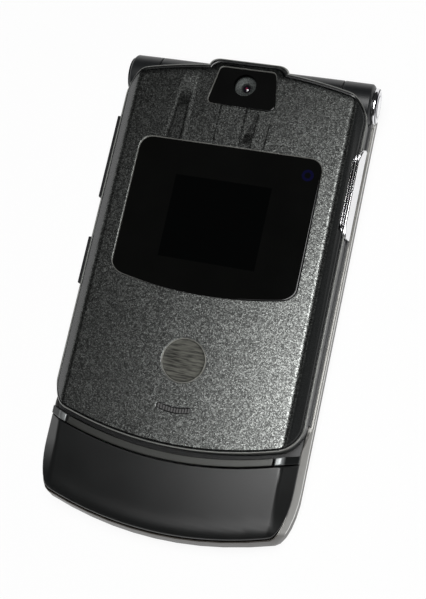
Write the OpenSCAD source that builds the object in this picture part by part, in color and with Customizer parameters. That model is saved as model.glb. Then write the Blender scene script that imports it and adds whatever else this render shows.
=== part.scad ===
// Slim clamshell phone, lying closed on its back.
// +X is to the right, +Y towards the hinge end, +Z out of the flip's outer face.
// The origin is on the back, in the middle of the footprint.

/* [Overall] */
// Length from the chin's end to the camera bump
body_l = 98; // [94:1:104]
// Width of the rear housing
body_w = 53; // [51:0.5:57]
// Height from the back to the middle of the flip's outer face
body_h = 13.9; // [13.6:0.1:15]
// How far the flip's lower edge stays inside the rear housing's side
flip_in = 0.85; // [0.35:0.05:1.2]
// Width of the slope between a crest line and the flip's lower edge
slope_w = 2.9; // [2.4:0.1:3.6]
// How far the crest lies below the middle of the outer face
crown = 0.2; // [0.05:0.05:0.3]
// How far the chin-side edge bows over half the flip's width
bow = 4.6; // [3:0.2:5.6]
// Length of the chin, from its end to the flip's lip
chin_l = 17.8; // [16:0.2:20]

/* [Base] */
// Height of the keypad face above the back
base_h = 7.2; // [7:0.1:7.4]
// Height of the rear housing's rim beside the flip
rim_h = 5.6; // [5.4:0.1:5.8]
// Height of the rear housing's rim beside the chin
rim_chin_h = 8.6; // [8:0.1:9.2]
// Height at which the rear housing's sides begin to lean in
rim_lean_z = 5.2; // [4.4:0.1:5.4]
// Thickness of the side walls
wall = 1.1; // [0.9:0.1:1.4]
// Thickness of the back
back_t = 1.6; // [1.5:0.1:1.8]
// Rounding of the back's long edges
back_round = 2.2; // [1:0.1:2.6]
// Rounding of the back at the chin's end
nose_round = 4; // [2:0.1:5]
// Thickness of the front plate round the keypad
front_t = 1; // [0.8:0.05:1]
// How far the chin's top lies below the middle of the flip's outer face
chin_drop = 1.2; // [0.7:0.1:1.7]
// How far the chin's top falls towards its end
chin_fall = 2.2; // [1.2:0.1:2.6]
// Wall of the chin cover
chin_wall = 1.2; // [1:0.1:1.5]
// Width of the strip across the chin
strip_w = 1.5; // [1.2:0.1:2]
// How far the strip's slits lie inside the crest lines
slit_in = 1.55; // [0.75:0.1:4.75]
// Width of the strip's slits
slit_w = 0.4; // [0.3:0.05:0.8]

/* [Hinge] */
// Radius of the hinge barrel
barrel_r = 4.4; // [4.2:0.1:4.6]
// How far the barrel's top lies below the flip's outer face
barrel_down = 1.5; // [1.3:0.1:1.7]
// Length of each hinge knuckle
knuckle_l = 6.6; // [5.6:0.2:8]
// How far the knuckles' ends stay inside the rear housing's side
knuckle_in = 0.5; // [0.3:0.1:0.9]
// Radius of the hinge cartridge and sleeve
cartridge_r = 2.5; // [2.2:0.1:2.8]
// Bore of the sleeve, where the flex passes
sleeve_bore_r = 1.6; // [1.2:0.1:1.8]
// Radius of the hinge caps
cap_r = 4; // [3.6:0.1:4.1]
// Thickness of the hinge caps
cap_t = 1; // [0.6:0.1:1.2]

/* [Flip] */
// Height of the flip's outer cover, from its lower edge to its face
cover_h = 3; // [2.8:0.1:3.2]
// Thickness of the flip's outer cover
cover_t = 1.1; // [1:0.05:1.2]
// Thickness of the flip's inner face
inner_t = 0.8; // [0.7:0.05:0.9]
// How far the camera bump's top stays behind the barrel's
bump_back = 0.5; // [0.2:0.1:0.8]
// Half the width of the camera bump at its foot
bump_foot = 8.3; // [7.6:0.1:9.6]
// Half the width of the camera bump at its top
bump_top = 6.2; // [5.6:0.1:7.4]
// Width of the outer window
window_w = 38.6; // [34:0.2:40]
// Length of the outer window
window_l = 31.2; // [27:0.1:32]
// Lower end of the outer window, from the middle of the phone
window_y = -1.1; // [-3:0.1:1]
// Corner radius of the outer window
window_r = 2.8; // [2:0.1:3.6]
// Width of the outer display
screen_w = 20; // [16:0.5:24]
// Length of the outer display
screen_l = 17.2; // [14:0.2:19]
// Lower end of the outer display, above the window's lower end
screen_up = 6.6; // [5:0.2:8]
// Width of the camera window at its upper end
cam_top_w = 12; // [10:0.2:12.6]
// Width of the camera window at its lower end
cam_low_w = 14.8; // [13:0.2:16]
// Length of the camera window
cam_l = 8.4; // [7.6:0.2:9]
// Radius of the camera's lens ring
lens_r = 2.2; // [1.8:0.1:2.6]
// Radius of the round plate below the window
disc_r = 4.6; // [3.6:0.1:5.4]
// Distance of the round plate from the flip's lip
disc_up = 16.9; // [15:0.1:18]
// Length of the speaker slot, between its end centres
slot_l = 6; // [5:0.2:8]
// Width of the speaker slot
slot_w = 1.35; // [1:0.05:1.6]
// Distance of the speaker slot from the flip's lip
slot_up = 7.1; // [6:0.1:8]

/* [Keypad] */
// Thickness of the keys
key_t = 0.65; // [0.5:0.05:0.7]
// Gap between a key and the web round it
key_gap = 0.2; // [0.15:0.05:0.25]
// Width of the web between two keys
web_w = 0.8; // [0.5:0.1:1.1]
// Width of the front plate beside the keypad
pad_side = 4.7; // [4.3:0.2:6.5]
// Length of the function keys' area, between the digit rows and the hinge
fn_l = 23.6; // [22.6:0.2:27]
// Outer radius of the navigation ring
nav_r = 8.4; // [7.6:0.1:8.8]
// Radius of the select key
select_r = 3.6; // [3:0.1:4.2]
// Travel of a key
key_travel = 0.22; // [0.15:0.01:0.22]

/* [Side keys] */
// Length of the volume key
volume_l = 18; // [14:0.2:19]
// Centre of the volume key, from the middle of the phone
volume_y = 25.3; // [24:0.1:27]
// Length of the smart key
smart_l = 10; // [8:0.2:12]
// Centre of the smart key, from the middle of the phone
smart_y = 2.7; // [1:0.1:5]
// Length of the voice key
voice_l = 18.6; // [15:0.2:20]
// Centre of the voice key, from the middle of the phone
voice_y = 25.1; // [24:0.1:27]
// How far the side keys stand out of the flip's side
key_proud = 0.8; // [0.4:0.1:0.9]
// Height of the flip's wall above and below the side keys
key_edge = 0.3; // [0.2:0.05:0.5]

/* [Power] */
// Width of the battery
battery_w = 36; // [32:0.5:37]
// Length of the battery
battery_l = 44; // [38:0.5:46]
// Thickness of the battery
battery_t = 4; // [3.6:0.1:4.1]
// Width of the back beside the battery cover
door_side = 6; // [5:0.25:6.5]
// Thickness of the battery cover
door_t = 0.8; // [0.6:0.05:0.9]
// Length of the release button
latch_l = 9; // [7:0.5:12]
// Width of the release button
latch_w = 3.6; // [3:0.1:4.2]

/* [Hidden] */
$fn = 48;

// Clearances
fit = 0.05;          // a part set into its opening
turn = 0.06;         // a shaft in its bore
joint_gap = 0.3;     // between flip and base
side_gap = 0.12;     // round a side key
far = 200;

// Colours
DARK = [0.17, 0.17, 0.18];
BLACK = [0.05, 0.05, 0.055];
RIM = [0.55, 0.54, 0.5];
METAL = [0.72, 0.72, 0.74];
BOARD = [0.1, 0.3, 0.2];
GOLD = [0.8, 0.65, 0.3];

// Ends and halves
half_w = body_w / 2;
half_flip = half_w - flip_in;
half_crest = half_flip - slope_w;
slit_x = half_crest - slit_in;
y_low = -body_l / 2;
y_high = body_l / 2;
crest_z = body_h - crown;
chin_h = body_h - chin_drop;
split_z = body_h - cover_h;
lip_y = y_low + chin_l;
hinge_y = y_high - barrel_r;
hinge_z = body_h - barrel_down - barrel_r;
knuckle_x = half_w - knuckle_in;
seam_x = knuckle_x - knuckle_l;
barrel_clear = barrel_r + 0.25;
neck_y = hinge_y - barrel_r - joint_gap;
ear_y = hinge_y - 0.4;
seam_gap = 0.12;
flip_z = base_h + joint_gap;

// Levels inside the base
plate_z = base_h - front_t;
dome_t = 0.2;
board_t = 0.8;
board_z = plate_z - dome_t - board_t;
dome_z = board_z + board_t;
dome_bump = 0.05;
web_z = dome_z + dome_t;
web_t = 0.6;
key_slack = 0.03;    // left between a pressed key and its dome
key_z = web_z + dome_bump + key_travel + key_slack;
key_top = key_z + key_t;

// ---- outlines ----

// Points across an edge of half width w: an elliptic corner cx wide at each end
function edge_xs(w, cx, n = 5, m = 6) = concat(
    [for (i = [m:-1:1]) -(w - cx + cx * sin(90 * i / m))],
    [for (i = [-n:n]) (w - cx) * i / n],
    [for (i = [1:m]) w - cx + cx * sin(90 * i / m)]);

// How far an edge has drawn in at x, by its bow and its corners
function bow_at(x, b) = b * pow(x / half_flip, 2);
function corner_at(x, w, cx, cy) = abs(x) <= w - cx ? 0
    : cy * (1 - sqrt(max(0, 1 - pow((abs(x) - w + cx) / cx, 2))));

// Outline with half width w; each end is [y, bow, corner x, corner y]
function outline(w, low, top) =
    let (lx = edge_xs(w, low[2]), tx = edge_xs(w, top[2]))
    concat(
        [for (x = lx) [x, low[0] + bow_at(x, low[1]) + corner_at(x, w, low[2], low[3])]],
        [for (i = [len(tx) - 1:-1:0])
            [tx[i], top[0] - bow_at(tx[i], top[1]) - corner_at(tx[i], w, top[2], top[3])]]);

// The same ends drawn in by d
function inset_low(e, d) = [e[0] + d, e[1], max(0.4, e[2] - d), max(0.4, e[3] - d)];
function inset_top(e, d) = [e[0] - d, e[1], max(0.4, e[2] - d), max(0.4, e[3] - d)];
function inset(w, low, top, d) = outline(w - d, inset_low(low, d), inset_top(top, d));

base_low = [y_low, bow, 3.6, 10];
base_top = [ear_y, 0, 1.2, 1.2];
chin_side = 0.85;
chin_low = [y_low + 1.3, bow, 3.2, 8.6];
flip_low = [lip_y, bow, 4, 4.5];
flip_top = [y_high - 1.65, 3.5, 4.4, 4.5];
function base_outline(d = 0) = inset(half_w, base_low, base_top, d);
function chin_outline(d = 0) = inset(half_w - chin_side, chin_low, [lip_y + bow + 4, 0, 1, 1], d);
function flip_outline(d = 0) = inset(half_flip, flip_low, flip_top, d);

// Everything on the chin's side of the bowed line y
function below(y, n = 12) = concat(
    [[half_w + 1, -far], [half_w + 1, y + bow_at(half_w + 1, bow)]],
    [for (i = [n:-1:-n]) [half_w * i / n, y + bow_at(half_w * i / n, bow)]],
    [[-half_w - 1, y + bow_at(half_w + 1, bow)], [-half_w - 1, -far]]);

// ---- shape helpers ----

module slab(points, z0, z1) {
    translate([0, 0, z0]) linear_extrude(z1 - z0) polygon(points);
}
module along_y(profile, y0, y1) {
    translate([0, y1, 0]) rotate([90, 0, 0]) linear_extrude(y1 - y0) polygon(profile);
}
module along_x(profile, x0, x1) {
    translate([x0, 0, 0]) rotate([90, 0, 90]) linear_extrude(x1 - x0) polygon(profile);
}
module box(x0, x1, y0, y1, z0, z1) {
    translate([x0, y0, z0]) cube([x1 - x0, y1 - y0, z1 - z0]);
}
module x_rod(r, x0, x1, y = hinge_y, z = hinge_z) {
    translate([x0, y, z]) rotate([0, 90, 0]) cylinder(r = r, h = x1 - x0);
}
module z_rod(r, x, y, z0, z1) {
    translate([x, y, z0]) cylinder(r = r, h = z1 - z0);
}
module both_sides() {
    children();
    mirror([1, 0, 0]) children();
}

// Quarter rounding of radius r, from straight down to straight across
function quarter(cx, cz, r, a0, a1, n = 5) = [for (i = [0:n])
    [cx + r * cos(a0 + (a1 - a0) * i / n), cz + r * sin(a0 + (a1 - a0) * i / n)]];

// ---- base ----

post_x = half_w - 4;
post_y = neck_y - 2.1;
chin_post_x = post_x - 2;
chin_post_y = y_low + 9.6;
post_r = 1.7;
screw_r = 0.7;
screw_head_r = 1.3;
screw_head_t = 0.6;
screw_sink = 0.3;
screw_l = 6.2;
posts = [[post_x, post_y], [-post_x, post_y], [chin_post_x, chin_post_y], [-chin_post_x, chin_post_y]];

bay_half = battery_w / 2 + 0.6;
battery_y1 = neck_y - 9;
battery_y0 = battery_y1 - battery_l;
board_y0 = y_low + 4;
card_share = 0.53;  // share of the board below the battery that the card bay takes
bay_y0 = battery_y0 - card_share * (battery_y0 - board_y0);
bay_y1 = neck_y - 2.4;
cover_half = half_w - door_side;
door_y0 = bay_y0 - 2.2;
door_y1 = neck_y - 1;
door_gap = 0.15;
bay_wall = 0.8;
port_y = battery_y0 - 4;
port_half = 3.9;
port_z0 = back_t + 0.4;
port_depth = 5.4;

// Section of the base across its width, with the back's long edges rounded
base_section = concat(
    quarter(-half_w + back_round, back_round, back_round, 180, 270),
    quarter(half_w - back_round, back_round, back_round, 270, 360),
    [[half_w, far], [-half_w, far]]);
// Section along the length: rounded at the chin's end, with the rim stepping up beside the chin
rim_step = [lip_y + bow, lip_y + bow + 5];
base_side = concat(
    quarter(y_low + nose_round, nose_round, nose_round, 180, 270, 7),
    [[far, 0], [far, rim_h], [rim_step[1], rim_h], [rim_step[0], rim_chin_h], [y_low, rim_chin_h]]);

module door_outline(grow, z0, z1) {
    slab(outline(cover_half + grow, [door_y0 - grow, 0, 0.4, 0.4], [door_y1 + grow, 0, 3, 3]), z0, z1);
}

// Space that the raised rim beside the chin takes, with a little to spare
module raised_rim() {
    difference() {
        box(-far, far, -far, rim_step[1] + fit, 0, rim_chin_h + fit);
        slab(base_outline(wall + fit), -1, far);
    }
}

module rear_housing() {
    color(RIM) difference() {
        intersection() {
            hull() {
                slab(base_outline(), 0, rim_lean_z);
                slab(base_outline(chin_side), 0, rim_chin_h);
            }
            along_y(base_section, -far, far);
            along_x(base_side, -far, far);
        }
        difference() {
            slab(base_outline(wall), back_t, far);
            box(-far, far, neck_y - wall, far, 0, far);
            both_sides() box(bay_half, bay_half + bay_wall, bay_y0, bay_y1, 0, board_z);
            for (p = posts) z_rod(post_r, p[0], p[1], 0, min(rim_h, board_z + 0.3));
        }
        door_outline(door_gap, -1, door_t + fit);
        box(-bay_half, bay_half, bay_y0, bay_y1, -1, back_t + 1);
        box(-seam_x - seam_gap, seam_x + seam_gap, neck_y, far, -1, far);
        both_sides() x_rod(barrel_r + fit, 0, far);
        box(-far, -half_w + port_depth, port_y - port_half, port_y + port_half, port_z0, board_z);
        for (p = posts) {
            z_rod(screw_r + fit, p[0], p[1], -1, far);
            z_rod(screw_head_r + fit, p[0], p[1], -1, screw_sink + screw_head_t);
        }
    }
}

// Area of the keypad: bowed at the chin's end, straight near the hinge
pad_half = half_w - pad_side;
pad_y0 = lip_y + 3.2;
pad_y1 = neck_y - 4.2;
pad_low = [pad_y0, bow, 0.6, 0.6];
pad_top = [pad_y1, 0, 0.6, 0.6];

module knuckle() {
    round_r = 0.9;
    translate([0, hinge_y, hinge_z]) rotate([0, 90, 0]) rotate_extrude()
        polygon(concat([[0, seam_x + seam_gap], [barrel_r, seam_x + seam_gap]],
            quarter(barrel_r - round_r, knuckle_x - round_r, round_r, 0, 90), [[0, knuckle_x]]));
}

module front_housing() {
    plate_side = 0.5;
    color(DARK) difference() {
        union() {
            difference() {
                slab(base_outline(plate_side), rim_h, base_h);
                slab(below(chin_y), -far, far);
                slab(base_outline(plate_side + wall), -far, plate_z);
                slab(inset(pad_half, pad_low, pad_top, -fit), -far, far);
                raised_rim();
            }
            both_sides() {
                difference() {
                    box(seam_x + seam_gap, half_w - plate_side - 0.3, neck_y - wall, ear_y, rim_h, base_h);
                    x_rod(barrel_r, 0, far);
                }
                z_rod(post_r, post_x, post_y, rim_h, base_h);
                knuckle();
            }
            difference() {
                box(-seam_x, seam_x, neck_y - wall, neck_y, rim_h, base_h);
                box(-seam_x + 1, seam_x - 1, neck_y - wall - 1, neck_y + 1, -far, rim_h);
            }
        }
        box(-seam_x - seam_gap, seam_x + seam_gap, neck_y, far, -1, far);
        for (p = posts) z_rod(screw_r + fit, p[0], p[1], -1, plate_z + 0.4);
        both_sides() x_rod(cartridge_r + 0.03, 0, knuckle_x - 0.8);
    }
}

// Section of the chin and flip across the width: flat between the crests, then sloping down
slope = (crest_z - split_z) / (half_flip - half_crest);
function crown_points(w, top, n = 6) = [for (i = [n:-1:-n])
    [w * i / n, top - crown * pow(i / n, 2)]];
function crest_section(top, half_edge, low, fall = slope) = concat(
    [[half_edge, low], [half_edge, top - crown - fall * (half_edge - half_crest)]],
    crown_points(half_crest, top),
    [[-half_edge, top - crown - fall * (half_edge - half_crest)], [-half_edge, low]]);

chin_y = lip_y - 2.75;
chin_edge_z = rim_chin_h + 0.3;
chin_end_z = rim_chin_h + 0.5;
chin_slope = (chin_h - crown - chin_edge_z) / (half_w - chin_side - half_crest);
// Section along the chin: a gentle fall, then a round nose
function chin_side_section(d = 0) =
    let (y_nose = y_low + 4.6 + d, top = chin_h - d, nose_z = chin_h - chin_fall - d, n = 6)
    concat([[far, -far], [far, top]],
        [for (i = [0:n]) let (t = i / n) [chin_y + 5 + (y_nose - chin_y - 5) * t, top - chin_fall * pow(t, 1.4)]],
        [for (i = [1:n]) let (a = 90 * i / n)
            [y_nose - (y_nose - (y_low + 1.3 + d)) * sin(a), chin_end_z + (nose_z - chin_end_z) * cos(a)]],
        [[y_low + 1.3 + d, -far]]);

module chin_body(d, z0) {
    intersection() {
        slab(chin_outline(d), z0, chin_h - d);
        slab(below(chin_y + (d > 0 ? -d : 0)), z0, far);
        along_y(crest_section(chin_h - d, half_w - chin_side - d, -far, chin_slope), -far, far);
        along_x(chin_side_section(d), -far, far);
    }
}

module chin_cover() {
    color(BLACK) difference() {
        union() {
            difference() {
                chin_body(0, rim_chin_h);
                chin_body(chin_wall, 0);
            }
            // wall that stands behind the strip
            intersection() {
                chin_body(0, dome_z + 0.1);
                difference() {
                    slab(below(chin_y), -far, far);
                    slab(below(chin_y - chin_wall), -far, far);
                }
                slab(base_outline(wall + 0.1), -far, far);
            }
            intersection() {
                chin_body(0, rim_h);
                for (p = [posts[2], posts[3]]) z_rod(post_r, p[0], p[1], rim_h, far);
            }
        }
        for (p = [posts[2], posts[3]]) z_rod(screw_r + fit, p[0], p[1], -1, screw_l + 1.6);
    }
}

module chin_strip() {
    strip_y = chin_y + 0.25 + strip_w;
    strip_z = base_h;
    color(DARK) difference() {
        intersection() {
            slab(chin_outline(0.1), strip_z, far);
            difference() {
                slab(below(strip_y), strip_z, far);
                slab(below(strip_y - strip_w), -far, far);
            }
            along_y(crest_section(chin_h - 0.1, half_w - chin_side - 0.1, -far, chin_slope), -far, far);
        }
        both_sides() box(slit_x - slit_w / 2, slit_x + slit_w / 2, -far, far, strip_z + 1, far);
        raised_rim();
    }
}

// ---- keypad ----

rows = 5;
rows_y0 = pad_y0 + web_w;
fn_y1 = pad_y1 - web_w;
fn_y0 = fn_y1 - fn_l;
row_pitch = (fn_y0 - rows_y0) / rows;
row_l = row_pitch - web_w;
cell_w = (2 * pad_half - 4 * web_w) / 3;
function row_y(r) = rows_y0 + r * row_pitch;
function col_x(c) = -pad_half + web_w + c * (cell_w + web_w);
fn_mid = (fn_y0 + bow_at(pad_half * 0.7, bow) + fn_y1) / 2;
nav_y = fn_y0 + nav_r + 0.5;
fn_x0 = nav_r * 0.62;

GRID_KEYS = ["key_star", "key_0", "key_hash", "key_7", "key_8", "key_9", "key_4", "key_5", "key_6",
    "key_1", "key_2", "key_3", "key_send", "key_clear", "key_end"];

// A cell of the keypad, bowed along both long edges, grown by g
function cell(x0, x1, y0, y1, g = 0, top_bow = bow, n = 5) = concat(
    [for (i = [0:n]) let (x = x0 - g + (x1 - x0 + 2 * g) * i / n) [x, y0 - g + bow_at(x, bow)]],
    [for (i = [n:-1:0]) let (x = x0 - g + (x1 - x0 + 2 * g) * i / n) [x, y1 + g + bow_at(x, top_bow)]]);

module grid_key(i, g = 0, z0 = key_z, z1 = key_top) {
    c = i % 3;
    r = floor(i / 3);
    slab(cell(col_x(c), col_x(c) + cell_w, row_y(r), row_y(r) + row_l, g), z0, z1);
}
// Upper and lower key beside the navigation ring, on the right
module side_cell(upper, g = 0, z0 = key_z, z1 = key_top) {
    difference() {
        if (upper)
            slab(cell(fn_x0, pad_half - web_w, fn_mid + web_w / 2 - 1, fn_y1, g, 0), z0, z1);
        else
            slab(cell(fn_x0, pad_half - web_w, fn_y0, fn_mid - web_w / 2 - 1, g), z0, z1);
        z_rod(nav_r + web_w - g, 0, nav_y, z0 - 1, z1 + 1);
        if (upper)
            box(-far, fn_x0 - g + 0.001, -far, far, z0 - 1, z1 + 1);
    }
}
module menu_cell(g = 0, z0 = key_z, z1 = key_top) {
    box(-fn_x0 + web_w - g, fn_x0 - web_w + g, nav_y + nav_r + web_w - g, fn_y1 + g, z0, z1);
}

module keypad_web() {
    color([0.75, 0.85, 0.95]) difference() {
        slab(inset(pad_half, pad_low, pad_top, 0), web_z, web_z + web_t);
        for (i = [0:len(GRID_KEYS) - 1]) grid_key(i, key_gap, -far, far);
        both_sides() {
            side_cell(true, key_gap, -far, far);
            side_cell(false, key_gap, -far, far);
        }
        menu_cell(key_gap, -far, far);
        z_rod(nav_r + key_gap, 0, nav_y, -far, far);
    }
}

module dome_sheet() {
    margin = 0.3;
    color([0.85, 0.85, 0.8]) {
        slab(inset(pad_half, pad_low, pad_top, -margin), dome_z, dome_z + dome_t);
        for (r = [0:rows - 1], c = [0:2])
            z_rod(1.8, col_x(c) + cell_w / 2, row_y(r) + row_l / 2 + bow_at(col_x(c) + cell_w / 2, bow),
                dome_z + dome_t, dome_z + dome_t + dome_bump);
        z_rod(1.8, 0, nav_y, dome_z + dome_t, dome_z + dome_t + dome_bump);
    }
}

// Ring that rocks about a line across the phone, round the select key
module nav_ring() {
    color(METAL) difference() {
        z_rod(nav_r, 0, nav_y, key_z, key_top);
        z_rod(select_r + 0.25, 0, nav_y, -far, far);
    }
}
module key_select() {
    color(METAL) z_rod(select_r, 0, nav_y, key_z, key_top);
}

// ---- electronics in the base ----

board_half = post_x - post_r - 1.2;
board_step = chin_post_y + 4;
mic_r = 1.3;
mic_x = -10;
mic_y = chin_y - chin_wall + bow_at(mic_x, bow) - mic_r - 0.15;

module main_board() {
    contact_h = 1.7;
    color(BOARD) {
        box(-board_half, board_half, board_step, neck_y - 2, board_z, dome_z);
        box(-chin_post_x + 3, chin_post_x - 3, board_y0, board_step, board_z, dome_z);
    }
    color(GOLD) for (i = [-1:1])
        box(i * 4 - 0.8, i * 4 + 0.8, battery_y0 - 1.2, battery_y0 - 0.2, board_z - contact_h, board_z);
    color(METAL) z_rod(mic_r, mic_x, mic_y, dome_z, dome_z + 1.5);
}
module shield_can() {
    can_h = 2.6;
    sheet = 0.3;
    half = chin_post_x - 4;
    low = board_y0 + 1;
    top = bay_y0 - 3;
    color(METAL) difference() {
        box(-half, half, low, top, board_z - can_h, board_z);
        box(-half + sheet, half - sheet, low + sheet, top - sheet, board_z - can_h + sheet, far);
    }
}
module sim_holder() {
    sim_half = 13.2;
    color(METAL) difference() {
        box(-sim_half, sim_half, bay_y0 + 0.6, battery_y0 - 1.6, board_z - 1.3, board_z);
        box(-sim_half + 0.7, sim_half - 0.7, bay_y0, battery_y0 - 2.4, board_z - 1, board_z - 0.15);
        box(-sim_half + 3, sim_half - 3, bay_y0 + 3, battery_y0 - 4, board_z - 2, board_z - 0.9);
    }
}
module battery() {
    color([0.2, 0.2, 0.22])
        box(-battery_w / 2, battery_w / 2, battery_y0, battery_y1, board_z - 0.1 - battery_t, board_z - 0.1);
}
module usb_port() {
    shell_t = 0.3;
    x0 = -half_w + 0.4;
    x1 = -half_w + port_depth - fit;
    color(METAL) difference() {
        box(x0, x1, port_y - port_half + fit, port_y + port_half - fit, port_z0 + fit, board_z);
        box(x0 - 1, x1 - shell_t, port_y - port_half + fit + shell_t, port_y + port_half - fit - shell_t,
            port_z0 + fit + shell_t, board_z - shell_t);
    }
    color(BLACK) box(x0 + 1.2, x1 - shell_t, port_y - 2.4, port_y + 2.4, port_z0 + 1.2, port_z0 + 1.8);
}
antenna_top = chin_h - chin_fall - chin_wall - 1;
module antenna() {
    half = chin_post_x - 4;
    rail = 1;
    low = y_low + 5;
    top = mic_y - mic_r - 0.2;
    color(GOLD) difference() {
        box(-half, half, low, top, dome_z, antenna_top);
        box(-half + rail, half - rail, low + rail, top - rail, dome_z - 1, antenna_top - 0.6);
        for (i = [-2:2]) box(i * 6 - 0.5, i * 6 + 0.5, low - 1, top - 3, antenna_top - 1, far);
    }
}

// ---- hinge ----

inner_x = 8.2;

module hinge_cartridge() {
    color(METAL) x_rod(cartridge_r, inner_x, knuckle_x - 0.85);
}
module hinge_sleeve() {
    color(METAL) difference() {
        x_rod(cartridge_r, -knuckle_x + 0.85, -inner_x);
        x_rod(sleeve_bore_r, -far, far);
    }
}
module hinge_caps() {
    edge = 0.4;
    color([0.85, 0.85, 0.86]) both_sides()
        translate([knuckle_x, hinge_y, hinge_z]) rotate([0, 90, 0]) rotate_extrude()
            polygon([[0, 0], [cap_r - 0.3, 0], [cap_r - 0.3, cap_t - edge], [cap_r - 0.3 - edge, cap_t],
                [0, cap_t]]);
}
module base_screws() {
    color(METAL) for (p = posts) difference() {
        union() {
            z_rod(screw_r, p[0], p[1], screw_sink, screw_l);
            z_rod(screw_head_r, p[0], p[1], screw_sink, screw_sink + screw_head_t);
        }
        translate([p[0], p[1], 0]) cylinder(r = 0.5, h = screw_sink + 0.4, $fn = 6);
    }
}

// ---- battery cover ----

door_axis_y = door_y0 + door_t / 2;
latch_y = door_y1 - 4.2;

module battery_cover() {
    color(DARK) difference() {
        union() {
            intersection() {
                door_outline(0, 0, door_t);
                box(-far, far, door_axis_y, far, -1, far);
            }
            x_rod(door_t / 2, -cover_half, cover_half, door_axis_y, door_t / 2);
        }
        latch_hole(latch_w / 2 + side_gap);
    }
}
module latch_hole(r, z0 = -1, z1 = 2) {
    span = (latch_l - latch_w) / 2;
    both_sides() z_rod(r, span, latch_y, z0, z1);
    box(-span, span, latch_y - r, latch_y + r, z0, z1);
}
module battery_latch() {
    color(BLACK) latch_hole(latch_w / 2, 0.1, door_t + 0.1);
}

// ---- flip ----

cavity_z = body_h - cover_t;
window_top = crest_z;
cam_y1 = y_high - 2.1;
cam_y0 = cam_y1 - cam_l;
cam_y = hinge_y - 1.3;
lens_sink = 0.6;
module_r = 3.4;
pack_z = split_z - 0.6;
side_key_z = (flip_z + inner_t + split_z) / 2;
side_key_h = split_z - flip_z - inner_t - 2 * key_edge;
barrel_half = seam_x - seam_gap;

function window_outline(d = 0) = inset(window_w / 2, [window_y, 3.9, window_r, window_r * 0.8],
    [window_y + window_l, 0, window_r, window_r], d);
// Camera window: a trapezium with its corners cut by c
function cam_half(y) = (cam_low_w + (cam_top_w - cam_low_w) * (y - cam_y0) / cam_l) / 2;
function cam_outline(d = 0, c = 1) = let (y0 = cam_y0 + d, y1 = cam_y1 - d,
        right = [[cam_half(y0) - d - c, y0], [cam_half(y0 + c) - d, y0 + c],
            [cam_half(y1 - c) - d, y1 - c], [cam_half(y1) - d - c, y1]])
    concat(right, [for (i = [3:-1:0]) [-right[i][0], right[i][1]]]);
bump_y = y_high - bump_back;
bump_right = [[bump_foot, bump_y - 5], [bump_foot, bump_y - 1.2], [bump_top + 0.7, bump_y - 0.3],
    [bump_top, bump_y]];
bump_outline = concat(bump_right, [for (i = [3:-1:0]) [-bump_right[i][0], bump_right[i][1]]]);
module flip_plan(z0, z1) {
    translate([0, 0, z0]) linear_extrude(z1 - z0) {
        polygon(flip_outline());
        polygon(bump_outline);
    }
}

// Outline of a curved slot that sags towards the chin, with half its width r
slot_y = lip_y + slot_up;
slot_bend = 11;
mesh_t = 0.5;
function slot_arc(r, a, n) = [for (i = [-n:n])
    [r * sin(a * i / n), slot_y + slot_bend - r * cos(a * i / n)]];
function slot_end(r, a, s, n) = [for (i = [1:n - 1]) let (t = s * a - 90 * s + 180 * i / n)
    [slot_bend * sin(s * a) + r * cos(t), slot_y + slot_bend - slot_bend * cos(a) + r * sin(t)]];
function slot_outline(r, n = 10) = let (a = asin(slot_l / 2 / slot_bend), inner = slot_arc(slot_bend - r, a, n))
    concat(slot_arc(slot_bend + r, a, n), slot_end(r, a, 1, n),
        [for (i = [2 * n:-1:0]) inner[i]], slot_end(r, a, -1, n));

voice_x = half_flip - 1.5;

module flip_cover() {
    cavity_half = half_flip - 1.3;
    cavity_crest = half_crest - 0.4;
    cavity = [[cavity_half, 0], [cavity_half, split_z + 0.2], [cavity_crest, cavity_z],
        [-cavity_crest, cavity_z], [-cavity_half, split_z + 0.2], [-cavity_half, 0]];
    color(DARK) difference() {
        intersection() {
            flip_plan(split_z, body_h);
            along_y(crest_section(body_h, half_flip, 0), -far, far);
        }
        intersection() {
            slab(flip_outline(1), 0, cavity_z);
            along_y(cavity, -far, far);
        }
        x_rod(barrel_r + fit, -barrel_half - seam_gap, barrel_half + seam_gap);
        both_sides() x_rod(barrel_clear, barrel_half, far);
        slab(window_outline(), 0, far);
        slab(cam_outline(), cavity_z, far);
        z_rod(module_r + fit, 0, cam_y, 0, cavity_z);
        z_rod(disc_r, 0, lip_y + disc_up, body_h - 0.45, far);
        slab(slot_outline(slot_w / 2), cavity_z - 1, far);
        box(voice_x - 0.15, far, voice_y - voice_l / 2 - 0.35, voice_y + voice_l / 2 + 0.35, 0, far);
    }
}

module flip_housing() {
    tray_wall = 1;
    wall_ring = 0.8;
    color(DARK) difference() {
        union() {
            difference() {
                slab(flip_outline(), flip_z, split_z);
                slab(flip_outline(tray_wall), flip_z + inner_t, far);
                both_sides() x_rod(barrel_clear, barrel_half, far);
            }
            both_sides() intersection() {
                slab(flip_outline(), flip_z, split_z);
                difference() {
                    x_rod(barrel_clear + wall_ring, barrel_half - 0.8, far);
                    x_rod(barrel_clear, barrel_half, far);
                }
            }
            x_rod(barrel_r, -barrel_half, barrel_half);
            slab(bump_outline, hinge_z, split_z);
        }
        both_sides() x_rod(cartridge_r + turn, inner_x - 0.2, far);
        z_rod(module_r + fit, 0, cam_y, hinge_z + 0.2, far);
        box(-win_half - fit, win_half + fit, win_y0 - fit, win_y1 + fit, 0, far);
        box(-ear_half, ear_half, ear_slot_y - 0.5, ear_slot_y + 0.5, 0, far);
        for (s = [-1, 1]) z_rod(bumper_r + fit, s * bumper_x, bumper_y, 0, flip_z + 0.4);
        side_slot(volume_y, volume_l, -1);
        side_slot(smart_y, smart_l, -1);
        side_slot(voice_y, voice_l + 0.2, 1);
    }
}

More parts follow.
